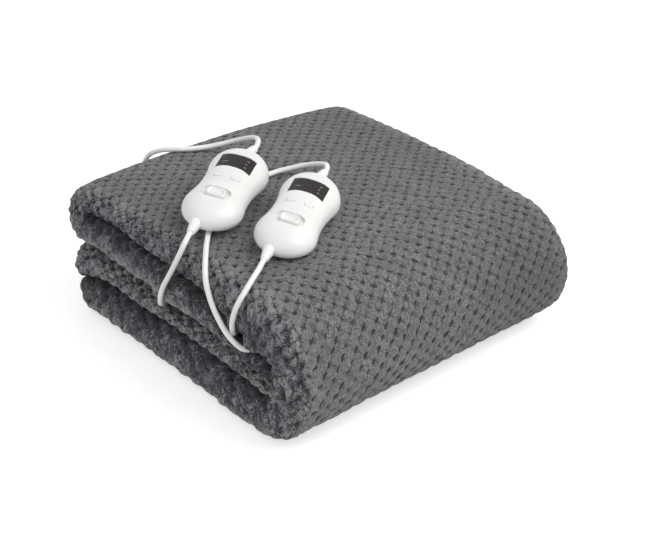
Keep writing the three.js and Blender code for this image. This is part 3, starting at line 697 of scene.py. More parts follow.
def handset_frame(pad, place):
    """Where a handset lies: its x axis runs to the screen end and its z axis out of its face."""
    x, y = place["x"], place["y"]
    up = pad_normal(pad, x, y)
    middle = Vector((x, y, pad_top(pad, x, y))) + up * place["lift"]
    heading, roll, tilt = (radians(place[name]) for name in ("heading", "roll", "tilt"))
    along = Vector((cos(heading), sin(heading), 0))
    along = (along - up * along.dot(up)).normalized()
    across = up.cross(along)
    lean, tip = Quaternion(along, roll), Quaternion(across, -tilt)
    axes = [tip @ (lean @ axis) for axis in (along, across, up)]
    return Matrix.Translation(middle) @ Matrix(axes).transposed().to_4x4()


def sleeve_frame(sleeve):
    """Where a sleeve starts on its handset, with its own x axis running out along the lead."""
    turn = Matrix.Rotation(radians(sleeve["turn"]), 4, "Z")
    dip = Matrix.Rotation(radians(sleeve["dip"]), 4, "Y")
    return Matrix.Translation(sleeve["at"]) @ turn @ dip


# --- leads ---
def coil_points(lead):
    """The wound part: a spiral inwards, down to the floor, and a spiral outwards below it."""
    half = COIL["turns"] / 2
    pitch = lead.diameter + GAP / 3
    low = lead.diameter / 2 + GAP
    points = []
    for i in range(COIL["turns"] * COIL["points_per_turn"] + 1):
        turn = i / COIL["points_per_turn"]
        radius = COIL["inner_radius"] + pitch * abs(turn - half)
        on_top = 1 - smooth((turn - half + COIL["drop"]) / COIL["drop"])
        angle = 2 * pi * turn - pi / 2
        points.append(Vector((
            COIL["x"] + radius * cos(angle), COIL["y"] + radius * sin(angle),
            low + pitch * on_top)))
    return points


def lead_curve(name, points, diameter, material):
    """A round lead as one open spline through the points."""
    curve = bpy.data.curves.new(name, "CURVE")
    curve.dimensions = "3D"
    curve.bevel_depth = diameter / 2
    curve.bevel_resolution = 4
    curve.resolution_u = 5
    curve.use_fill_caps = True
    curve.materials.append(material)
    spline = curve.splines.new("BEZIER")
    spline.bezier_points.add(len(points) - 1)
    before = [2 * points[0] - points[1]] + points[:-1]
    after = points[1:] + [2 * points[-1] - points[-2]]
    for knot, last, point, following in zip(spline.bezier_points, before, points, after):
        knot.handle_left_type = knot.handle_right_type = "FREE"
        came, goes = point - last, following - point
        near, far = came.length ** 0.5, goes.length ** 0.5
        heading = came / near + goes / far - (following - last) / (near + far)
        knot.co = point
        knot.handle_left = point - heading * near / 3
        knot.handle_right = point + heading * far / 3
    return link(bpy.data.objects.new(name, curve))


class HEATEDPAD_OT_leads(bpy.types.Operator):
    """Lays the four leads, with the spare mains lead wound behind the pad"""

    bl_idname = "heatedpad.leads"
    bl_label = "Leads"

    def execute(self, context):
        lead = context.scene.heated_pad_leads
        white = lead_material(lead)
        low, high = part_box("plug_sleeve")
        middle = (low + high) / 2
        wound = coil_points(lead)
        to_plug = [
            (mix(wound[-1].x, low.x, 0.5), middle.y, mix(wound[-1].z, high.z, 0.30)),
            (low.x + 4 * GAP, middle.y, middle.z)]
        routes = (
            ("mains_lead", "left", "top", [*MAINS_LEFT, *wound, *to_plug]),
            ("mains_lead", "right", "top", MAINS_RIGHT),
            ("pad_lead", "left", "low", PAD_LEAD_LEFT),
            ("pad_lead", "right", "low", PAD_LEAD_RIGHT),
        )
        for kind, side, end, route in routes:
            sleeve = SLEEVES[end]
            start = handset_frame(context.scene.heated_pad, HANDSETS[side]) @ sleeve_frame(sleeve)
            points = [
                start @ Vector((sleeve["length"] + far, 0, 0)) for far in (-GAP, lead.diameter)]
            points += [Vector(point) for point in route]
            cord = lead_curve(f"{side}_{kind}", points, lead.diameter, white)
            node = f"{kind}_{side}"
            if node == "mains_lead_left":
                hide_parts(node, "mains_coil")
            else:
                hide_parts(node)
            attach(cord, "pad")
        return {"FINISHED"}


# --- the folded pad ---
def creases_at(y):
    """Heights of the three creases at one place along Y."""
    rows = sorted(CREASES)
    y = min(max(y, rows[0][0]), rows[-1][0])
    for near, far in zip(rows, rows[1:]):
        if y <= far[0]:
            share = smooth((y - near[0]) / (far[0] - near[0]))
            return [mix(low, high, share) for low, high in zip(near[1:], far[1:])]


def layer_at(pad, layer, y):
    """Middle height and thickness of a layer."""
    edges = (-CREASE_GAP / 2, *creases_at(y), pad.stack + CREASE_GAP / 2)
    low, high = edges[layer:layer + 2]
    return (low + high) / 2, high - low - CREASE_GAP


def band_stations(pad):
    """Stations along the middle line of the folded band, and which is over the pad's middle.

    Each has its y, z and thickness, the inset of each side edge, how much the band is
    turning, and the look of its side edges.
    """
    stations = []

    def mixed(first, second, share):
        return (mix(a, b, share) for a, b in zip(first, second))

    def turn_at(high_layer, low_layer, y, squash=1.0):
        """Where a fold turns about, so that it ends at y, and how far it reaches from there."""
        high, low = layer_at(pad, high_layer, y), layer_at(pad, low_layer, y)
        reach = squash * (high[0] - low[0]) / 2
        return y - copysign((high[1] + low[1]) / 4 + reach, y), reach

    def run(layer, start, end):
        for i in range(RUN_STEPS):
            y = mix(start, end, i / RUN_STEPS)
            turning = smooth((-0.010 - y) / 0.060) if layer == TOP else 0
            stations.append((
                y, *layer_at(pad, layer, y), *LAYER_INSETS[layer], turning, *SIDE_LOOK[layer]))

    def fold(start_layer, end_layer, centre, reach, side, belly=1.0):
        start, end = layer_at(pad, start_layer, centre), layer_at(pad, end_layer, centre)
        for i in range(FOLD_STEPS):
            angle = pi * i / FOLD_STEPS
            share = smooth(i / FOLD_STEPS)
            power = belly if angle < pi / 2 else 1
            stations.append((
                centre + side * reach * sin(angle) ** power,
                mix(start[0], end[0], (1 - cos(angle)) / 2),
                mix(start[1], end[1], share),
                *mixed(LAYER_INSETS[start_layer], LAYER_INSETS[end_layer], share),
                min(1, 3 * sin(angle)),
                *mixed(SIDE_LOOK[start_layer], SIDE_LOOK[end_layer], share)))

    def free_end(layer, reach, length, dip, opening=False):
        for i in range(END_STEPS + 1):
            share = i / END_STEPS
            angle = pi / 2 * (1 - share if opening else share)
            y = reach - length * (1 - sin(angle))
            middle, thick = layer_at(pad, layer, y)
            thinner = thick * (1 - cos(angle))
            drawn_in = pad.end_drawn_in * (1 - cos(angle))
            stations.append((
                y, middle - dip * thinner, thick - thinner,
                *(inset + drawn_in for inset in LAYER_INSETS[layer]), 0, *SIDE_LOOK[layer]))

    outer, outer_reach = turn_at(TOP, BOTTOM, REACH["outer_fold"], squash=0.95)
    behind, back_reach = turn_at(TOP, UPPER, REACH["back_fold"])
    inner, inner_reach = turn_at(UPPER, LOWER, REACH["inner_fold"])
    lower_end, bottom_end = FREE_ENDS["lower"], FREE_ENDS["bottom"]
    free_end(BOTTOM, **bottom_end, opening=True)
    run(BOTTOM, bottom_end["reach"] - bottom_end["length"], outer)
    fold(BOTTOM, TOP, outer, outer_reach, -1, belly=0.72)
    zero = len(stations) + int(RUN_STEPS * outer / (outer - behind))
    run(TOP, outer, behind)
    fold(TOP, UPPER, behind, back_reach, 1)
    run(UPPER, behind, inner)
    fold(UPPER, LOWER, inner, inner_reach, -1)
    run(LOWER, inner, lower_end["reach"] - lower_end["length"])
    free_end(LOWER, **lower_end)
    return np.array(stations), zero


class FoldedBand:
    """Carries points of the flat band into the folded pad.

    The flat band has a place across it, 0 along the middle of the outer face and growing
    round the side edges to the inner face, and a distance along it.
    """

    def __init__(self, pad):
        self.pad = pad
        self.stations, zero = band_stations(pad)
        middle = self.stations[:, :2]
        heading = np.gradient(middle, axis=0)
        heading /= np.linalg.norm(heading, axis=1, keepdims=True)
        self.facing = np.stack([-heading[:, 1], heading[:, 0]], axis=1)
        self.facing[:END_STEPS + 1] = (0, -1)
        self.facing[-END_STEPS - 1:] = (0, 1)
        outer = middle + self.facing * self.stations[:, 2:3] / 2
        steps = [np.linalg.norm(np.diff(line, axis=0), axis=1) for line in (middle, outer)]
        self.distance = np.concatenate([[0], np.cumsum(np.maximum(*steps))])
        self.distance -= self.distance[zero]
        self.face = pad.width / 2 - pad.edge_reach
        self.edge = pad.edge_length
        self.half = 2 * self.face + self.edge

    def fold(self, across, along):
        """The folded places of points of the flat band, the same rolled out flat on the side
        edge, how much the band turns there, how much painted shade, against painted sheen, its side
        edge carries, and how smooth a side edge is."""
        pad = self.pad
        y, z, thick, left, right, turning, foot_shade, middle_shade, top_shade, velvet, face_y, face_z = (
            np.interp(along, self.distance, column)
            for column in (*self.stations.T, *self.facing.T))
        corner = self.face - np.where(across < 0, left, right)
        round_edge = np.clip((np.abs(across) - self.face) / self.edge, 0, 1)
        turn = np.pi * (0.5 - round_edge)
        power = 2 / pad.edge_power
        bulge = pad.edge_reach * np.abs(np.cos(turn)) ** power
        out = thick / 2 * np.sign(turn) * np.abs(np.sin(turn)) ** power
        on_outer = np.minimum(np.abs(across) / self.face, 1)
        on_inner = np.clip((np.abs(across) - self.face - self.edge) / self.face, 0, 1)
        x = np.sign(across) * (corner * (on_outer - on_inner) + bulge)
        # Painted shade and sheen by height on the side edge: from the foot's share through the
        # middle's to the top's
        level = 2 * face_z * out / np.maximum(thick, GAP)
        roll_shade = middle_shade + np.maximum(0, level) * (top_shade - middle_shade)
        roll_shade += np.maximum(0, -level) * (foot_shade - middle_shade)
        rolled_out = (0.5 - round_edge) * self.edge
        flat_side = np.stack([x, y + face_y * rolled_out, z + face_z * rolled_out], axis=1)
        y = y + face_y * out
        z = (z + face_z * out) * stack_share(pad, x, y)
        return np.stack([x, y, z], axis=1), flat_side, turning, roll_shade, velvet


def cell_phases(across, along):
    """Counts of the two rows of cells that cross at each point of the flat band."""
    places, first, second = np.array(CELLS_ALONG).T
    fine = np.linspace(places[0], places[-1], 600)
    counts = []
    for lengths, side in ((first, -1), (second, 1)):
        rate = 1 / np.interp(fine, places, lengths)
        count = np.concatenate([[0], np.cumsum((rate[1:] + rate[:-1]) / 2 * np.diff(fine))])
        count -= np.interp(0, fine, count)
        counts.append(np.interp(along, fine, count) + side * across / CELL_ACROSS)
    return counts


def side_phases(places):
    """Counts of the two rows of cells on the side of a fold."""
    along, up = places[:, 1] / SIDE_CELL[0], places[:, 2] / SIDE_CELL[1]
    return along + up, along - up


def soft_noise(points, size, seed):
    """A smooth random value from -1 to 1 at each point, with lumps of the given size."""
    shift = Vector((seed * 7.3, seed * 3.1, seed * 5.7))
    return np.array([noise.noise(Vector(point) / size + shift) for point in points])


def cell_relief(pad, phases, wander, rough, uneven):
    """Depth of the valleys between the cells and of the pits at their corners."""
    one, two = (
        (0.5 + 0.5 * np.cos(2 * np.pi * (phase + sway))) ** (3.0 - rough)
        for phase, sway in zip(phases, wander))
    pits = one * two
    valleys = one + two - pits
    return uneven * (
        pad.valley_depth * valleys * (1 + 3.8 * rough) + pad.pit_depth * pits * (1 + 1.4 * rough))


def hem_nest(places):
    """Ridges of thin hems that curl round each other in the front corner."""
    away = places - HEM_NEST["middle"]
    far = np.linalg.norm(away, axis=1)
    angle = np.arctan2(away[:, 2], away[:, 1])
    share = np.exp(-(far / HEM_NEST["spread"]) ** 4)
    return HEM_NEST["height"] * share * np.cos(2 * np.pi * far / HEM_NEST["spacing"] + angle)


def pad_relief(pad, across, along, places, flat_side, rolled, sideways, velvet):
    """How far each point stands out of the plain folded band, and how much painted shade darkens
    it.
    """
    flat = np.stack([across, along, np.zeros(len(across))], axis=1)
    wander = [ROW_WANDER * soft_noise(flat, WANDER_SIZE, seed) for seed in (1, 2)]
    underside = ROUGH_UNDERSIDE * smooth((UNDERSIDE - along) / UNDERSIDE_BLEND)
    rough = np.maximum(rolled * np.where(across < 0, 1, ROUGH_RIGHT), underside)
    uneven = 1 + 0.6 * soft_noise(flat, UNEVEN_SIZE, 3)
    on_face, on_side = (
        cell_relief(pad, phases, wander, rough, uneven)
        for phases in (cell_phases(across, along), side_phases(flat_side)))
    relief = -mix(on_face, on_side, sideways) * (1 - 0.6 * velvet)
    lumps = soft_noise(flat, HOLLOW_SIZE, 4)
    relief += pad.unevenness * (0.35 + rough) * (lumps - 0.6) / 1.2
    relief += hem_nest(places)
    tufts = soft_noise(flat_side * (1, 1, 0.55), TUFT_SIZE, 5)
    relief += TUFT_HEIGHT * velvet * tufts
    # Painted shade in the low places between the tufts
    darker = 0.60 * velvet * np.clip(-2.2 * tufts, 0, 1)
    for middle, radii, depth, dark in HOLLOWS:
        pressed = np.exp(-(((places - middle) / radii) ** 2).sum(axis=1))
        relief -= depth * pressed
        darker = np.maximum(darker, dark * pressed)
    return relief, darker


def make_pad(pad, material):
    """The pad as one closed mesh: a flat band, finer where it shows, folded and then puffed."""
    band = FoldedBand(pad)
    start, end = band.distance[0], band.distance[-1]
    columns = round(2 * band.half / pad.coarse / 2) * 2
    rows = round((end - start) / pad.coarse)
    bm = bmesh.new()
    bmesh.ops.create_grid(bm, x_segments=columns, y_segments=rows, size=1)
    bmesh.ops.scale(bm, vec=(band.half, (end - start) / 2, 1), verts=bm.verts)
    bmesh.ops.translate(bm, vec=(0, (start + end) / 2, 0), verts=bm.verts)

    def shows(face):
        across, along, _ = face.calc_center_median()
        beyond = abs(across) - band.face
        side_edge = -FINE_BEFORE < beyond < band.edge + FINE_AFTER
        outside = beyond < 0 and SHOWN_FROM < along < SHOWN_TO
        return side_edge or outside or min(along - start, end - along) < FINE_END

    fine = {edge for face in bm.faces if shows(face) for edge in face.edges}
    bmesh.ops.subdivide_edges(bm, edges=list(fine), cuts=3, use_grid_fill=True)
    flat = np.array([vert.co[:] for vert in bm.verts])
    across, along = flat[:, 0], flat[:, 1]
    places, flat_side, turning, roll_shade, velvet = band.fold(across, along)
    beyond = np.abs(across) - band.face
    rolled, on_side = (
        smooth((beyond + before) / over) for before, over in (ROLL_BLEND, SIDE_BLEND))
    sideways = on_side * smooth(2 * turning)
    velvet = velvet * smooth(beyond / SIDE_BLEND[1])
    height, darker = pad_relief(
        pad, across, along, places, flat_side, rolled, sideways, velvet)
    height *= smooth(np.minimum(along - start, end - along) / END_BLEND)
    counts = {False: cell_phases(across, along), True: side_phases(flat_side)}
    pile_places = {False: (across, along), True: (flat_side[:, 2], flat_side[:, 1])}
    maps = [
        (bm.loops.layers.uv.new("cells"), counts), (bm.loops.layers.uv.new("pile"), pile_places)]
    for face in bm.faces:
        is_side = sum(sideways[vert.index] for vert in face.verts) > 2
        for layer, values in maps:
            right, up = values[is_side]
            for loop in face.loops:
                loop[layer].uv = (right[loop.vert.index], up[loop.vert.index])
    # The painted shade and sheen of the side edges, and the painted shade of the hollows and tuft
    # gaps, go to the plush as attributes
    kept = {
        "relief": height, "roll": rolled, "roll_shade": roll_shade * rolled, "velvet": velvet, "dim": darker}
    layers = {name: bm.verts.layers.float.new(name) for name in kept}
    for i, (vert, place) in enumerate(zip(bm.verts, places)):
        vert.co = place
        for name, values in kept.items():
            vert[layers[name]] = values[i]
    bmesh.ops.remove_doubles(bm, verts=bm.verts, dist=CLOTH_MERGE)
    bmesh.ops.recalc_face_normals(bm, faces=bm.faces)
    bm.normal_update()
    for vert, out in [(vert, vert.normal.copy()) for vert in bm.verts]:
        vert.co += out * vert[layers["relief"]]
        vert.co.z = max(vert.co.z, 0)
    return piece(bm, "plush_pad", material, sharp=180)


class HEATEDPAD_OT_pad(bpy.types.Operator):
    """Builds the folded plush pad"""

    bl_idname = "heatedpad.pad"
    bl_label = "Pad"

    def execute(self, context):
        pad = context.scene.heated_pad
        plush = make_pad(pad, plush_material(pad))
        stand_for(plush, "pad", "grey_plush")
        return {"FINISHED"}


# --- the handsets ---
def shell_levels():
    """The shell's levels from the base up, with smooth steps between the given ones."""
    rows = [Vector(row) for row in HANDSET_LEVELS]
    ends = [2 * rows[0] - rows[1], *rows, 2 * rows[-1] - rows[-2]]
    levels = []
    for last, low, high, following in zip(ends, ends[1:], ends[2:], ends[3:]):
        for share in (0, 0.25, 0.5, 0.75):
            levels.append(0.5 * (
                2 * low + (high - last) * share
                + (2 * last - 5 * low + 4 * high - following) * share ** 2
                + (3 * low - last - 3 * high + following) * share ** 3))
    return [*levels, rows[-1]]


class Handset:
    """The shape of a handset's shell, for its parts to fit to: from above, two round ends
    with a hollow arc between them at each side."""

    def __init__(self, sizes):
        self.sizes = sizes
        self.levels = shell_levels()
        self.length = sizes.lobe_offset + sizes.lobe_radius
        self.hollow = (sizes.lobe_offset ** 2 + sizes.waist ** 2 - sizes.lobe_radius ** 2) / (
            2 * (sizes.lobe_radius - sizes.waist))
        self.centre = self.hollow + sizes.waist
        dome = [level for level in self.levels if level.y >= sizes.parting]
        self.insets, self.heights = zip(*dome)

    def outline(self, inset):
        """Points round the handset, drawn in by an inset."""
        lobe_steps, waist_steps = 22, 9
        radius, hollow = self.sizes.lobe_radius - inset, self.hollow + inset
        touch = atan2(self.centre, self.sizes.lobe_offset)
        points = []
        for side in (1, -1):
            for i in range(lobe_steps + 1):
                angle = (pi - touch) * (2 * i / lobe_steps - 1)
                points.append((
                    side * (self.sizes.lobe_offset + radius * cos(angle)),
                    side * radius * sin(angle)))
            for i in range(1, waist_steps):
                spread = (pi / 2 - touch) * (1 - 2 * i / waist_steps)
                points.append((
                    side * hollow * sin(spread),
                    side * (self.centre - hollow * cos(spread))))
        return points

    def deeper(self, x):
        return 1 + self.sizes.rise * x / self.length

    def top(self, x, y):
        """Height of the shell's upper face."""
        sizes = self.sizes
        if abs(x) > sizes.lobe_offset * (1 - min(abs(y) / self.centre, 1)):
            inset = sizes.lobe_radius - hypot(abs(x) - sizes.lobe_offset, y)
        else:
            inset = hypot(x, self.centre - abs(y)) - self.hollow
        return float(np.interp(inset, self.insets, self.heights)) * self.deeper(x)

    def over(self, outline, up):
        """The points of an outline at some height over the upper face."""
        return raised(outline, lambda x, y: self.top(x, y) + up)

    def shell(self):
        return loft([
            raised(self.outline(level.x), lambda x, y: level.y * self.deeper(x))
            for level in self.levels])

    def plate(self, outline_at, low, high, soft):
        """A plate that follows the upper face, from low to high above it, its rim softened.
        outline_at gives its outline drawn in by an inset."""
        steps = ((0, low), (0, high - soft), (0.3 * soft, high - 0.3 * soft), (soft, high))
        rings = [self.over(outline_at(inset), up) for inset, up in steps]
        last = outline_at(soft)
        middle = Vector([sum(way) for way in zip(*last)]) / len(last)
        for share in (0.75, 0.5, 0.25):
            inner = [middle.lerp(Vector(point), share) for point in last]
            rings.append(self.over(inner, high))
        return loft(rings)

    def button(self, side, room, low, high, soft):
        """A button, or its pocket when the room round it is none."""
        def outline(inset):
            return rounded_outline(
                (BUTTON["at"], side * BUTTON["side"]), BUTTON["length"] - 2 * (room + inset),
                BUTTON["width"] - 2 * (room + inset), BUTTON["corner"] - room - inset / 2)

        return self.plate(outline, low, high, soft)

    def window(self, shrink, low, high):
        """The arched window as a slab that follows the upper face."""
        half_length = WINDOW["length"] / 2 - shrink
        half = WINDOW["width"] / 2 - shrink
        radius = (half ** 2 + WINDOW["arch"] ** 2) / (2 * WINDOW["arch"])
        swing = asin(half / radius)
        bm = bmesh.new()
        bm.loops.layers.uv.new("face")
        bmesh.ops.create_grid(bm, x_segments=14, y_segments=24, size=1, calc_uvs=True)
        for vert in bm.verts:
            angle = swing * vert.co.y
            x = WINDOW["middle"] + half_length * vert.co.x - radius * (1 - cos(angle))
            y = radius * sin(angle)
            vert.co = (x, y, self.top(x, y) + high)
        made = bmesh.ops.extrude_face_region(bm, geom=bm.faces[:])
        for vert in made["geom"]:
            if isinstance(vert, bmesh.types.BMVert):
                vert.co.z = self.top(vert.co.x, vert.co.y) + low
        return bm

    def recess(self):
        """The room that the slide switch moves in."""
        outline = rounded_outline(
            (SWITCH["middle"], 0), SWITCH["length"] + 2 * RECESS["side_room"],
            SWITCH["width"] + 2 * (SWITCH["travel"] + RECESS["end_room"]), RECESS["corner"])
        return loft([raised(outline, lambda x, y: z) for z in (SWITCH["floor"], RECESS["top"])])

    def thumb(self):
        """The switch's thumb piece: a rounded block with a shallow dish and a raised grip."""
        def outline(inset):
            return rounded_outline(
                (SWITCH["middle"], 0), SWITCH["length"] - 2 * inset, SWITCH["width"] - 2 * inset,
                SWITCH["corner"] - inset / 2)

        rings = [raised(outline(0), lambda x, y: SWITCH["floor"] + GAP)]
        for inset, up in THUMB_STEPS:
            rings.append(raised(outline(inset), lambda x, y: mix(
                SWITCH["floor"], self.top(x, y) + SWITCH["proud"], up)))
        return loft(rings)


def cut_out(body, cutters):
    """Takes the cutters away from the body's mesh."""
    for cutter in cutters:
        change = body.modifiers.new("cut", "BOOLEAN")
        change.operation = "DIFFERENCE"
        change.solver = "EXACT"
        change.object = cutter
    evaluated = body.evaluated_get(bpy.context.evaluated_depsgraph_get())
    mesh = bpy.data.meshes.new_from_object(evaluated)
    for spare in (body, *cutters):
        bpy.data.objects.remove(spare)
    return mesh


def make_shell(shape, material):
    """The handset's shell with its pockets, in the handset's own frame."""
    pocket = BUTTON["thick"] + BUTTON["travel"] - BUTTON["proud"] + GAP
    cutters = (
        shape.window(0, -WINDOW["sunk"] - WINDOW["thick"] - 2 * GAP, CUTTER_OVER),
        *(shape.button(side, 0, -pocket, CUTTER_OVER, 0) for side in (1, -1)),
        shape.recess())
    shell = piece(shape.shell(), "shell", material)
    bm = bmesh.new()
    bm.from_mesh(cut_out(shell, [piece(cutter, "cutter", material) for cutter in cutters]))
    return bm


def make_sleeve(which):
    """A tapered lead sleeve on its handset: smooth at the screen end, ribbed at the other."""
    buried, base, tip = 0.006, 0.0057, 0.0038
    length = SLEEVES[which]["length"]
    profile = [(-buried, 0), (-buried, base)]
    if which == "low":
        groove, edge = 0.0007, 0.000175
        ribs = ribbed(length, base, tip, 6, (
            (0.04, edge), (0.14, 0), (0.50, 0), (0.60, edge), (0.68, groove), (0.94, groove)))
        profile += ribs[:-2]  # no groove after the last rib
    else:
        profile += [(0, base), (length * 0.30, 0.0051), (length * 0.62, 0.0044)]
        profile += [(length - 0.0012, tip), (length - 0.0004, tip - 0.0002)]
    profile += [(length, tip - 0.0006), (length, 0)]
    bm = turned(profile)
    bm.transform(sleeve_frame(SLEEVES[which]))
    return bm


class HEATEDPAD_OT_handsets(bpy.types.Operator):
    """Builds both handsets: shell, window, two buttons, slide switch and two lead sleeves"""

    bl_idname = "heatedpad.handsets"
    bl_label = "Handsets"

    def execute(self, context):
        scene = context.scene
        shape = Handset(scene.heated_pad_handsets)
        finishes = {
            "white_shell": shell_material(scene.heated_pad_handsets),
            "dark_window": window_material(scene.heated_pad_handsets),
            "white_lead": lead_material(scene.heated_pad_leads)}
        button = (GAP, BUTTON["proud"] - BUTTON["thick"], BUTTON["proud"], BUTTON["soft"])
        window = (GAP, -WINDOW["sunk"] - WINDOW["thick"], -WINDOW["sunk"])
        parts = (
            ("shell", make_shell(shape, finishes["white_shell"]), "white_shell", False),
            ("window", shape.window(*window), "dark_window", False),
            ("button_up", shape.button(1, *button), "white_shell", True),
            ("button_down", shape.button(-1, *button), "white_shell", True),
            ("switch", shape.thumb(), "white_shell", True),
            ("sleeve_top", make_sleeve("top"), "white_lead", False),
            ("sleeve_low", make_sleeve("low"), "white_lead", False))
        for side, place in HANDSETS.items():
            lies = handset_frame(scene.heated_pad, place)
            for part, bm, slot, moves in parts:
                made = piece(bm.copy(), f"{side}_{part}", finishes[slot], lies, sharp=38)
                node = f"handset_{side}_{part}"
                stand_for(made, node, slot, node if moves else "pad")
        for _, bm, _, _ in parts:
            bm.free()
        return {"FINISHED"}


# --- the plug ---
class HEATEDPAD_OT_plug(bpy.types.Operator):
    """Builds the mains plug with its ribbed sleeve and two pins"""

    bl_idname = "heatedpad.plug"
    bl_label = "Plug"

    def body(self):
        low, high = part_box("plug_body")
        middle = (low + high) / 2
        length, width, _ = high - low
        half, back_half = width / 2, PLUG_BACK_WIDTH / 2
        side = [
            (low.x, back_half), (low.x + 0.30 * length, back_half + 0.001),
            (low.x + 0.45 * length, 0.60 * half), (low.x + 0.58 * length, 0.90 * half),
            (low.x + 0.68 * length, half), (high.x - 0.003, half),
            (high.x - 0.0008, half - 0.0008), (high.x, half - 0.003)]
        outline = side + [(x, -y) for x, y in reversed(side)]
        bm = loft([[(x, middle.y + y, z) for x, y in outline] for z in (low.z, high.z)])
        rims = [
            edge for edge in bm.edges if abs(edge.verts[0].co.z - edge.verts[1].co.z) < MERGE]
        bmesh.ops.bevel(
            bm, geom=rims, offset=0.0028, segments=5, profile=0.5, affect="EDGES", material=-1)
        return bm

    def sleeve(self, reach):
        base, tip, groove = 0.005, 0.0034, 0.0006
        ribs = ribbed(reach, tip, base, 7, ((0.25, groove), (0.37, 0), (0.75, 0), (0.87, groove)))
        return turned([
            (0, 0), (0, tip - 0.0005), (0.0005, tip), *ribs, (reach, base), (reach, 0)])

    def pin(self, reach, radius):
        profile = [(-GAP, 0), (-GAP, radius)]
        for i in range(9):
            angle = pi / 2 * i / 8
            profile.append((reach - radius * (1 - sin(angle)), radius * cos(angle)))
        return turned(profile, 24)

    def execute(self, context):
        white = lead_material(context.scene.heated_pad_leads)
        metal = pin_material()
        stand_for(piece(self.body(), "plug", white, sharp=35), "plug_body", "white_lead")
        for name, node, slot, material in (
                ("plug_lead_sleeve", "plug_sleeve", "white_lead", white),
                ("pin_left", "plug_pin_left", "plated_pin", metal),
                ("pin_right", "plug_pin_right", "plated_pin", metal)):
            low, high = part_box(node)
            reach, width, _ = high - low
            middle = (low + high) / 2
            bm = self.sleeve(reach) if material == white else self.pin(reach, width / 2)
            place = Matrix.Translation((low.x, middle.y, middle.z))
            stand_for(piece(bm, name, material, place), node, slot)
        return {"FINISHED"}


# --- camera and stage ---
class HEATEDPAD_OT_camera(bpy.types.Operator):
    """Sets up the camera"""

    bl_idname = "heatedpad.camera"
    bl_label = "Camera"

    def execute(self, context):
        stage = context.scene.heated_pad_stage
        azimuth, elevation = stage.view_from
        data = bpy.data.cameras.new("camera")
        data.lens = stage.lens
        camera = link(bpy.data.objects.new("camera", data))
        camera.location = Vector(stage.target) + bearing(azimuth, elevation) * stage.distance
        camera.rotation_euler = (pi / 2 - elevation, 0, azimuth)
        context.scene.camera = camera
        return {"FINISHED"}


def area_lamp(name, way, power, distance, size, colour):
    """A square lamp that faces the middle of the pad."""
    data = bpy.data.lights.new(name, "AREA")
    data.size = size
    data.energy = power
    data.color = colour
    lamp = link(bpy.data.objects.new(name, data))
    away = bearing(*way)
    lamp.location = away * distance
    lamp.rotation_euler = away.to_track_quat("Z", "Y").to_euler()


def floor_material(stage):
    """A pale matt floor that is white to the camera but for the soft shadow on it."""
    material, nodes = new_material("Pale floor")
    fleck = nodes.noise(nodes.add("TexCoord")["Object"], 60.0)["Fac"]
    nodes.shade({
        "Base Color": nodes.blend(fleck, (0.78, 0.78, 0.78, 1), stage.floor_colour),
        "Roughness": 0.9, "Specular IOR Level": 0.1, "Emission Color": (1, 1, 1, 1),
        "Emission Strength": nodes.times(nodes.not_lighting(), stage.floor_lift)})
    return material


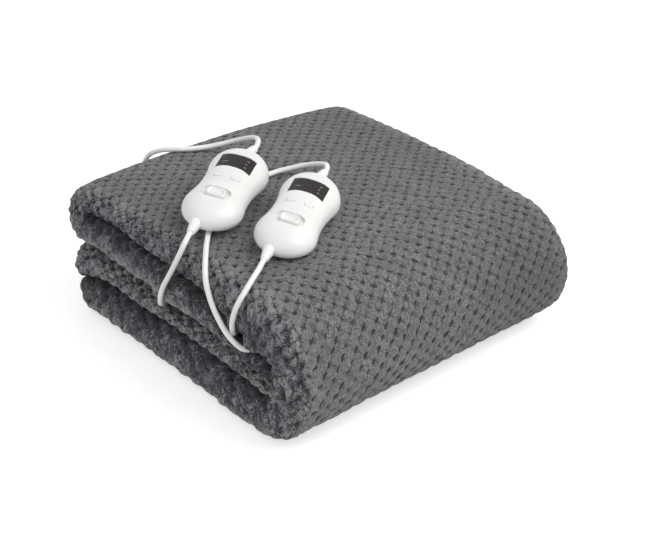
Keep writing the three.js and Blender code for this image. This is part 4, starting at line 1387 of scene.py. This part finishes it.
class HEATEDPAD_OT_stage(bpy.types.Operator):
    """Lays the pale floor and hangs the lamps and the sky"""

    bl_idname = "heatedpad.stage"
    bl_label = "Stage"

    def execute(self, context):
        stage = context.scene.heated_pad_stage
        bm = bmesh.new()
        bmesh.ops.create_grid(bm, x_segments=4, y_segments=4, size=stage.floor_size / 2)
        floor = piece(bm, "floor", floor_material(stage), Matrix.Translation((0, 0, -GAP)))
        area_lamp(
            "key_lamp", stage.key_from, stage.key_power, distance=2.2, size=1.6,
            colour=(1.0, 0.985, 0.965))
        area_lamp(
            "fill_lamp", stage.fill_from, stage.fill_power, distance=2.4, size=2.0,
            colour=(0.94, 0.97, 1.0))
        world = bpy.data.worlds.new("Studio sky")
        context.scene.world = world
        world.use_nodes = True
        nodes = Nodes(world.node_tree)
        strength = nodes.add("MapRange", {
            "Value": nodes.not_lighting(), "To Min": stage.sky_strength, "To Max": 1.0})
        nodes.put(nodes.tree.nodes["Background"].inputs, {
            "Color": (1, 1, 1, 1), "Strength": strength["Result"]})
        context.scene.view_settings.view_transform = "Standard"
        return {"FINISHED"}


class HEATEDPAD_PT_panel(bpy.types.Panel):
    """Lists what builds the heated pad"""

    bl_idname = "HEATEDPAD_PT_panel"
    bl_label = "Heated Pad"
    bl_space_type = "VIEW_3D"
    bl_region_type = "UI"
    bl_category = "Heated Pad"

    def draw(self, context):
        for name, settings in SETTINGS.items():
            box = self.layout.box()
            for setting in settings.__annotations__:
                box.prop(getattr(context.scene, name), setting)
        for operator in OPERATORS:
            self.layout.operator(operator.bl_idname)


# --- the add-on ---
SETTINGS = {
    "heated_pad": PadSettings,
    "heated_pad_handsets": HandsetSettings,
    "heated_pad_leads": LeadSettings,
    "heated_pad_stage": StageSettings,
}
OPERATORS = (
    HEATEDPAD_OT_camera, HEATEDPAD_OT_plug, HEATEDPAD_OT_leads, HEATEDPAD_OT_pad,
    HEATEDPAD_OT_handsets, HEATEDPAD_OT_stage,
)


def register():
    for name, settings in SETTINGS.items():
        bpy.utils.register_class(settings)
        setattr(bpy.types.Scene, name, PointerProperty(type=settings))
    for shown in (*OPERATORS, HEATEDPAD_PT_panel):
        bpy.utils.register_class(shown)


def unregister():
    for shown in (HEATEDPAD_PT_panel, *reversed(OPERATORS)):
        bpy.utils.unregister_class(shown)
    for name, settings in reversed(SETTINGS.items()):
        delattr(bpy.types.Scene, name)
        bpy.utils.unregister_class(settings)


def main():
    register()
    bpy.ops.heatedpad.camera()
    bpy.ops.heatedpad.plug()
    bpy.ops.heatedpad.leads()
    bpy.ops.heatedpad.pad()
    bpy.ops.heatedpad.handsets()
    bpy.ops.heatedpad.stage()


if __name__ == "__main__":
    main()
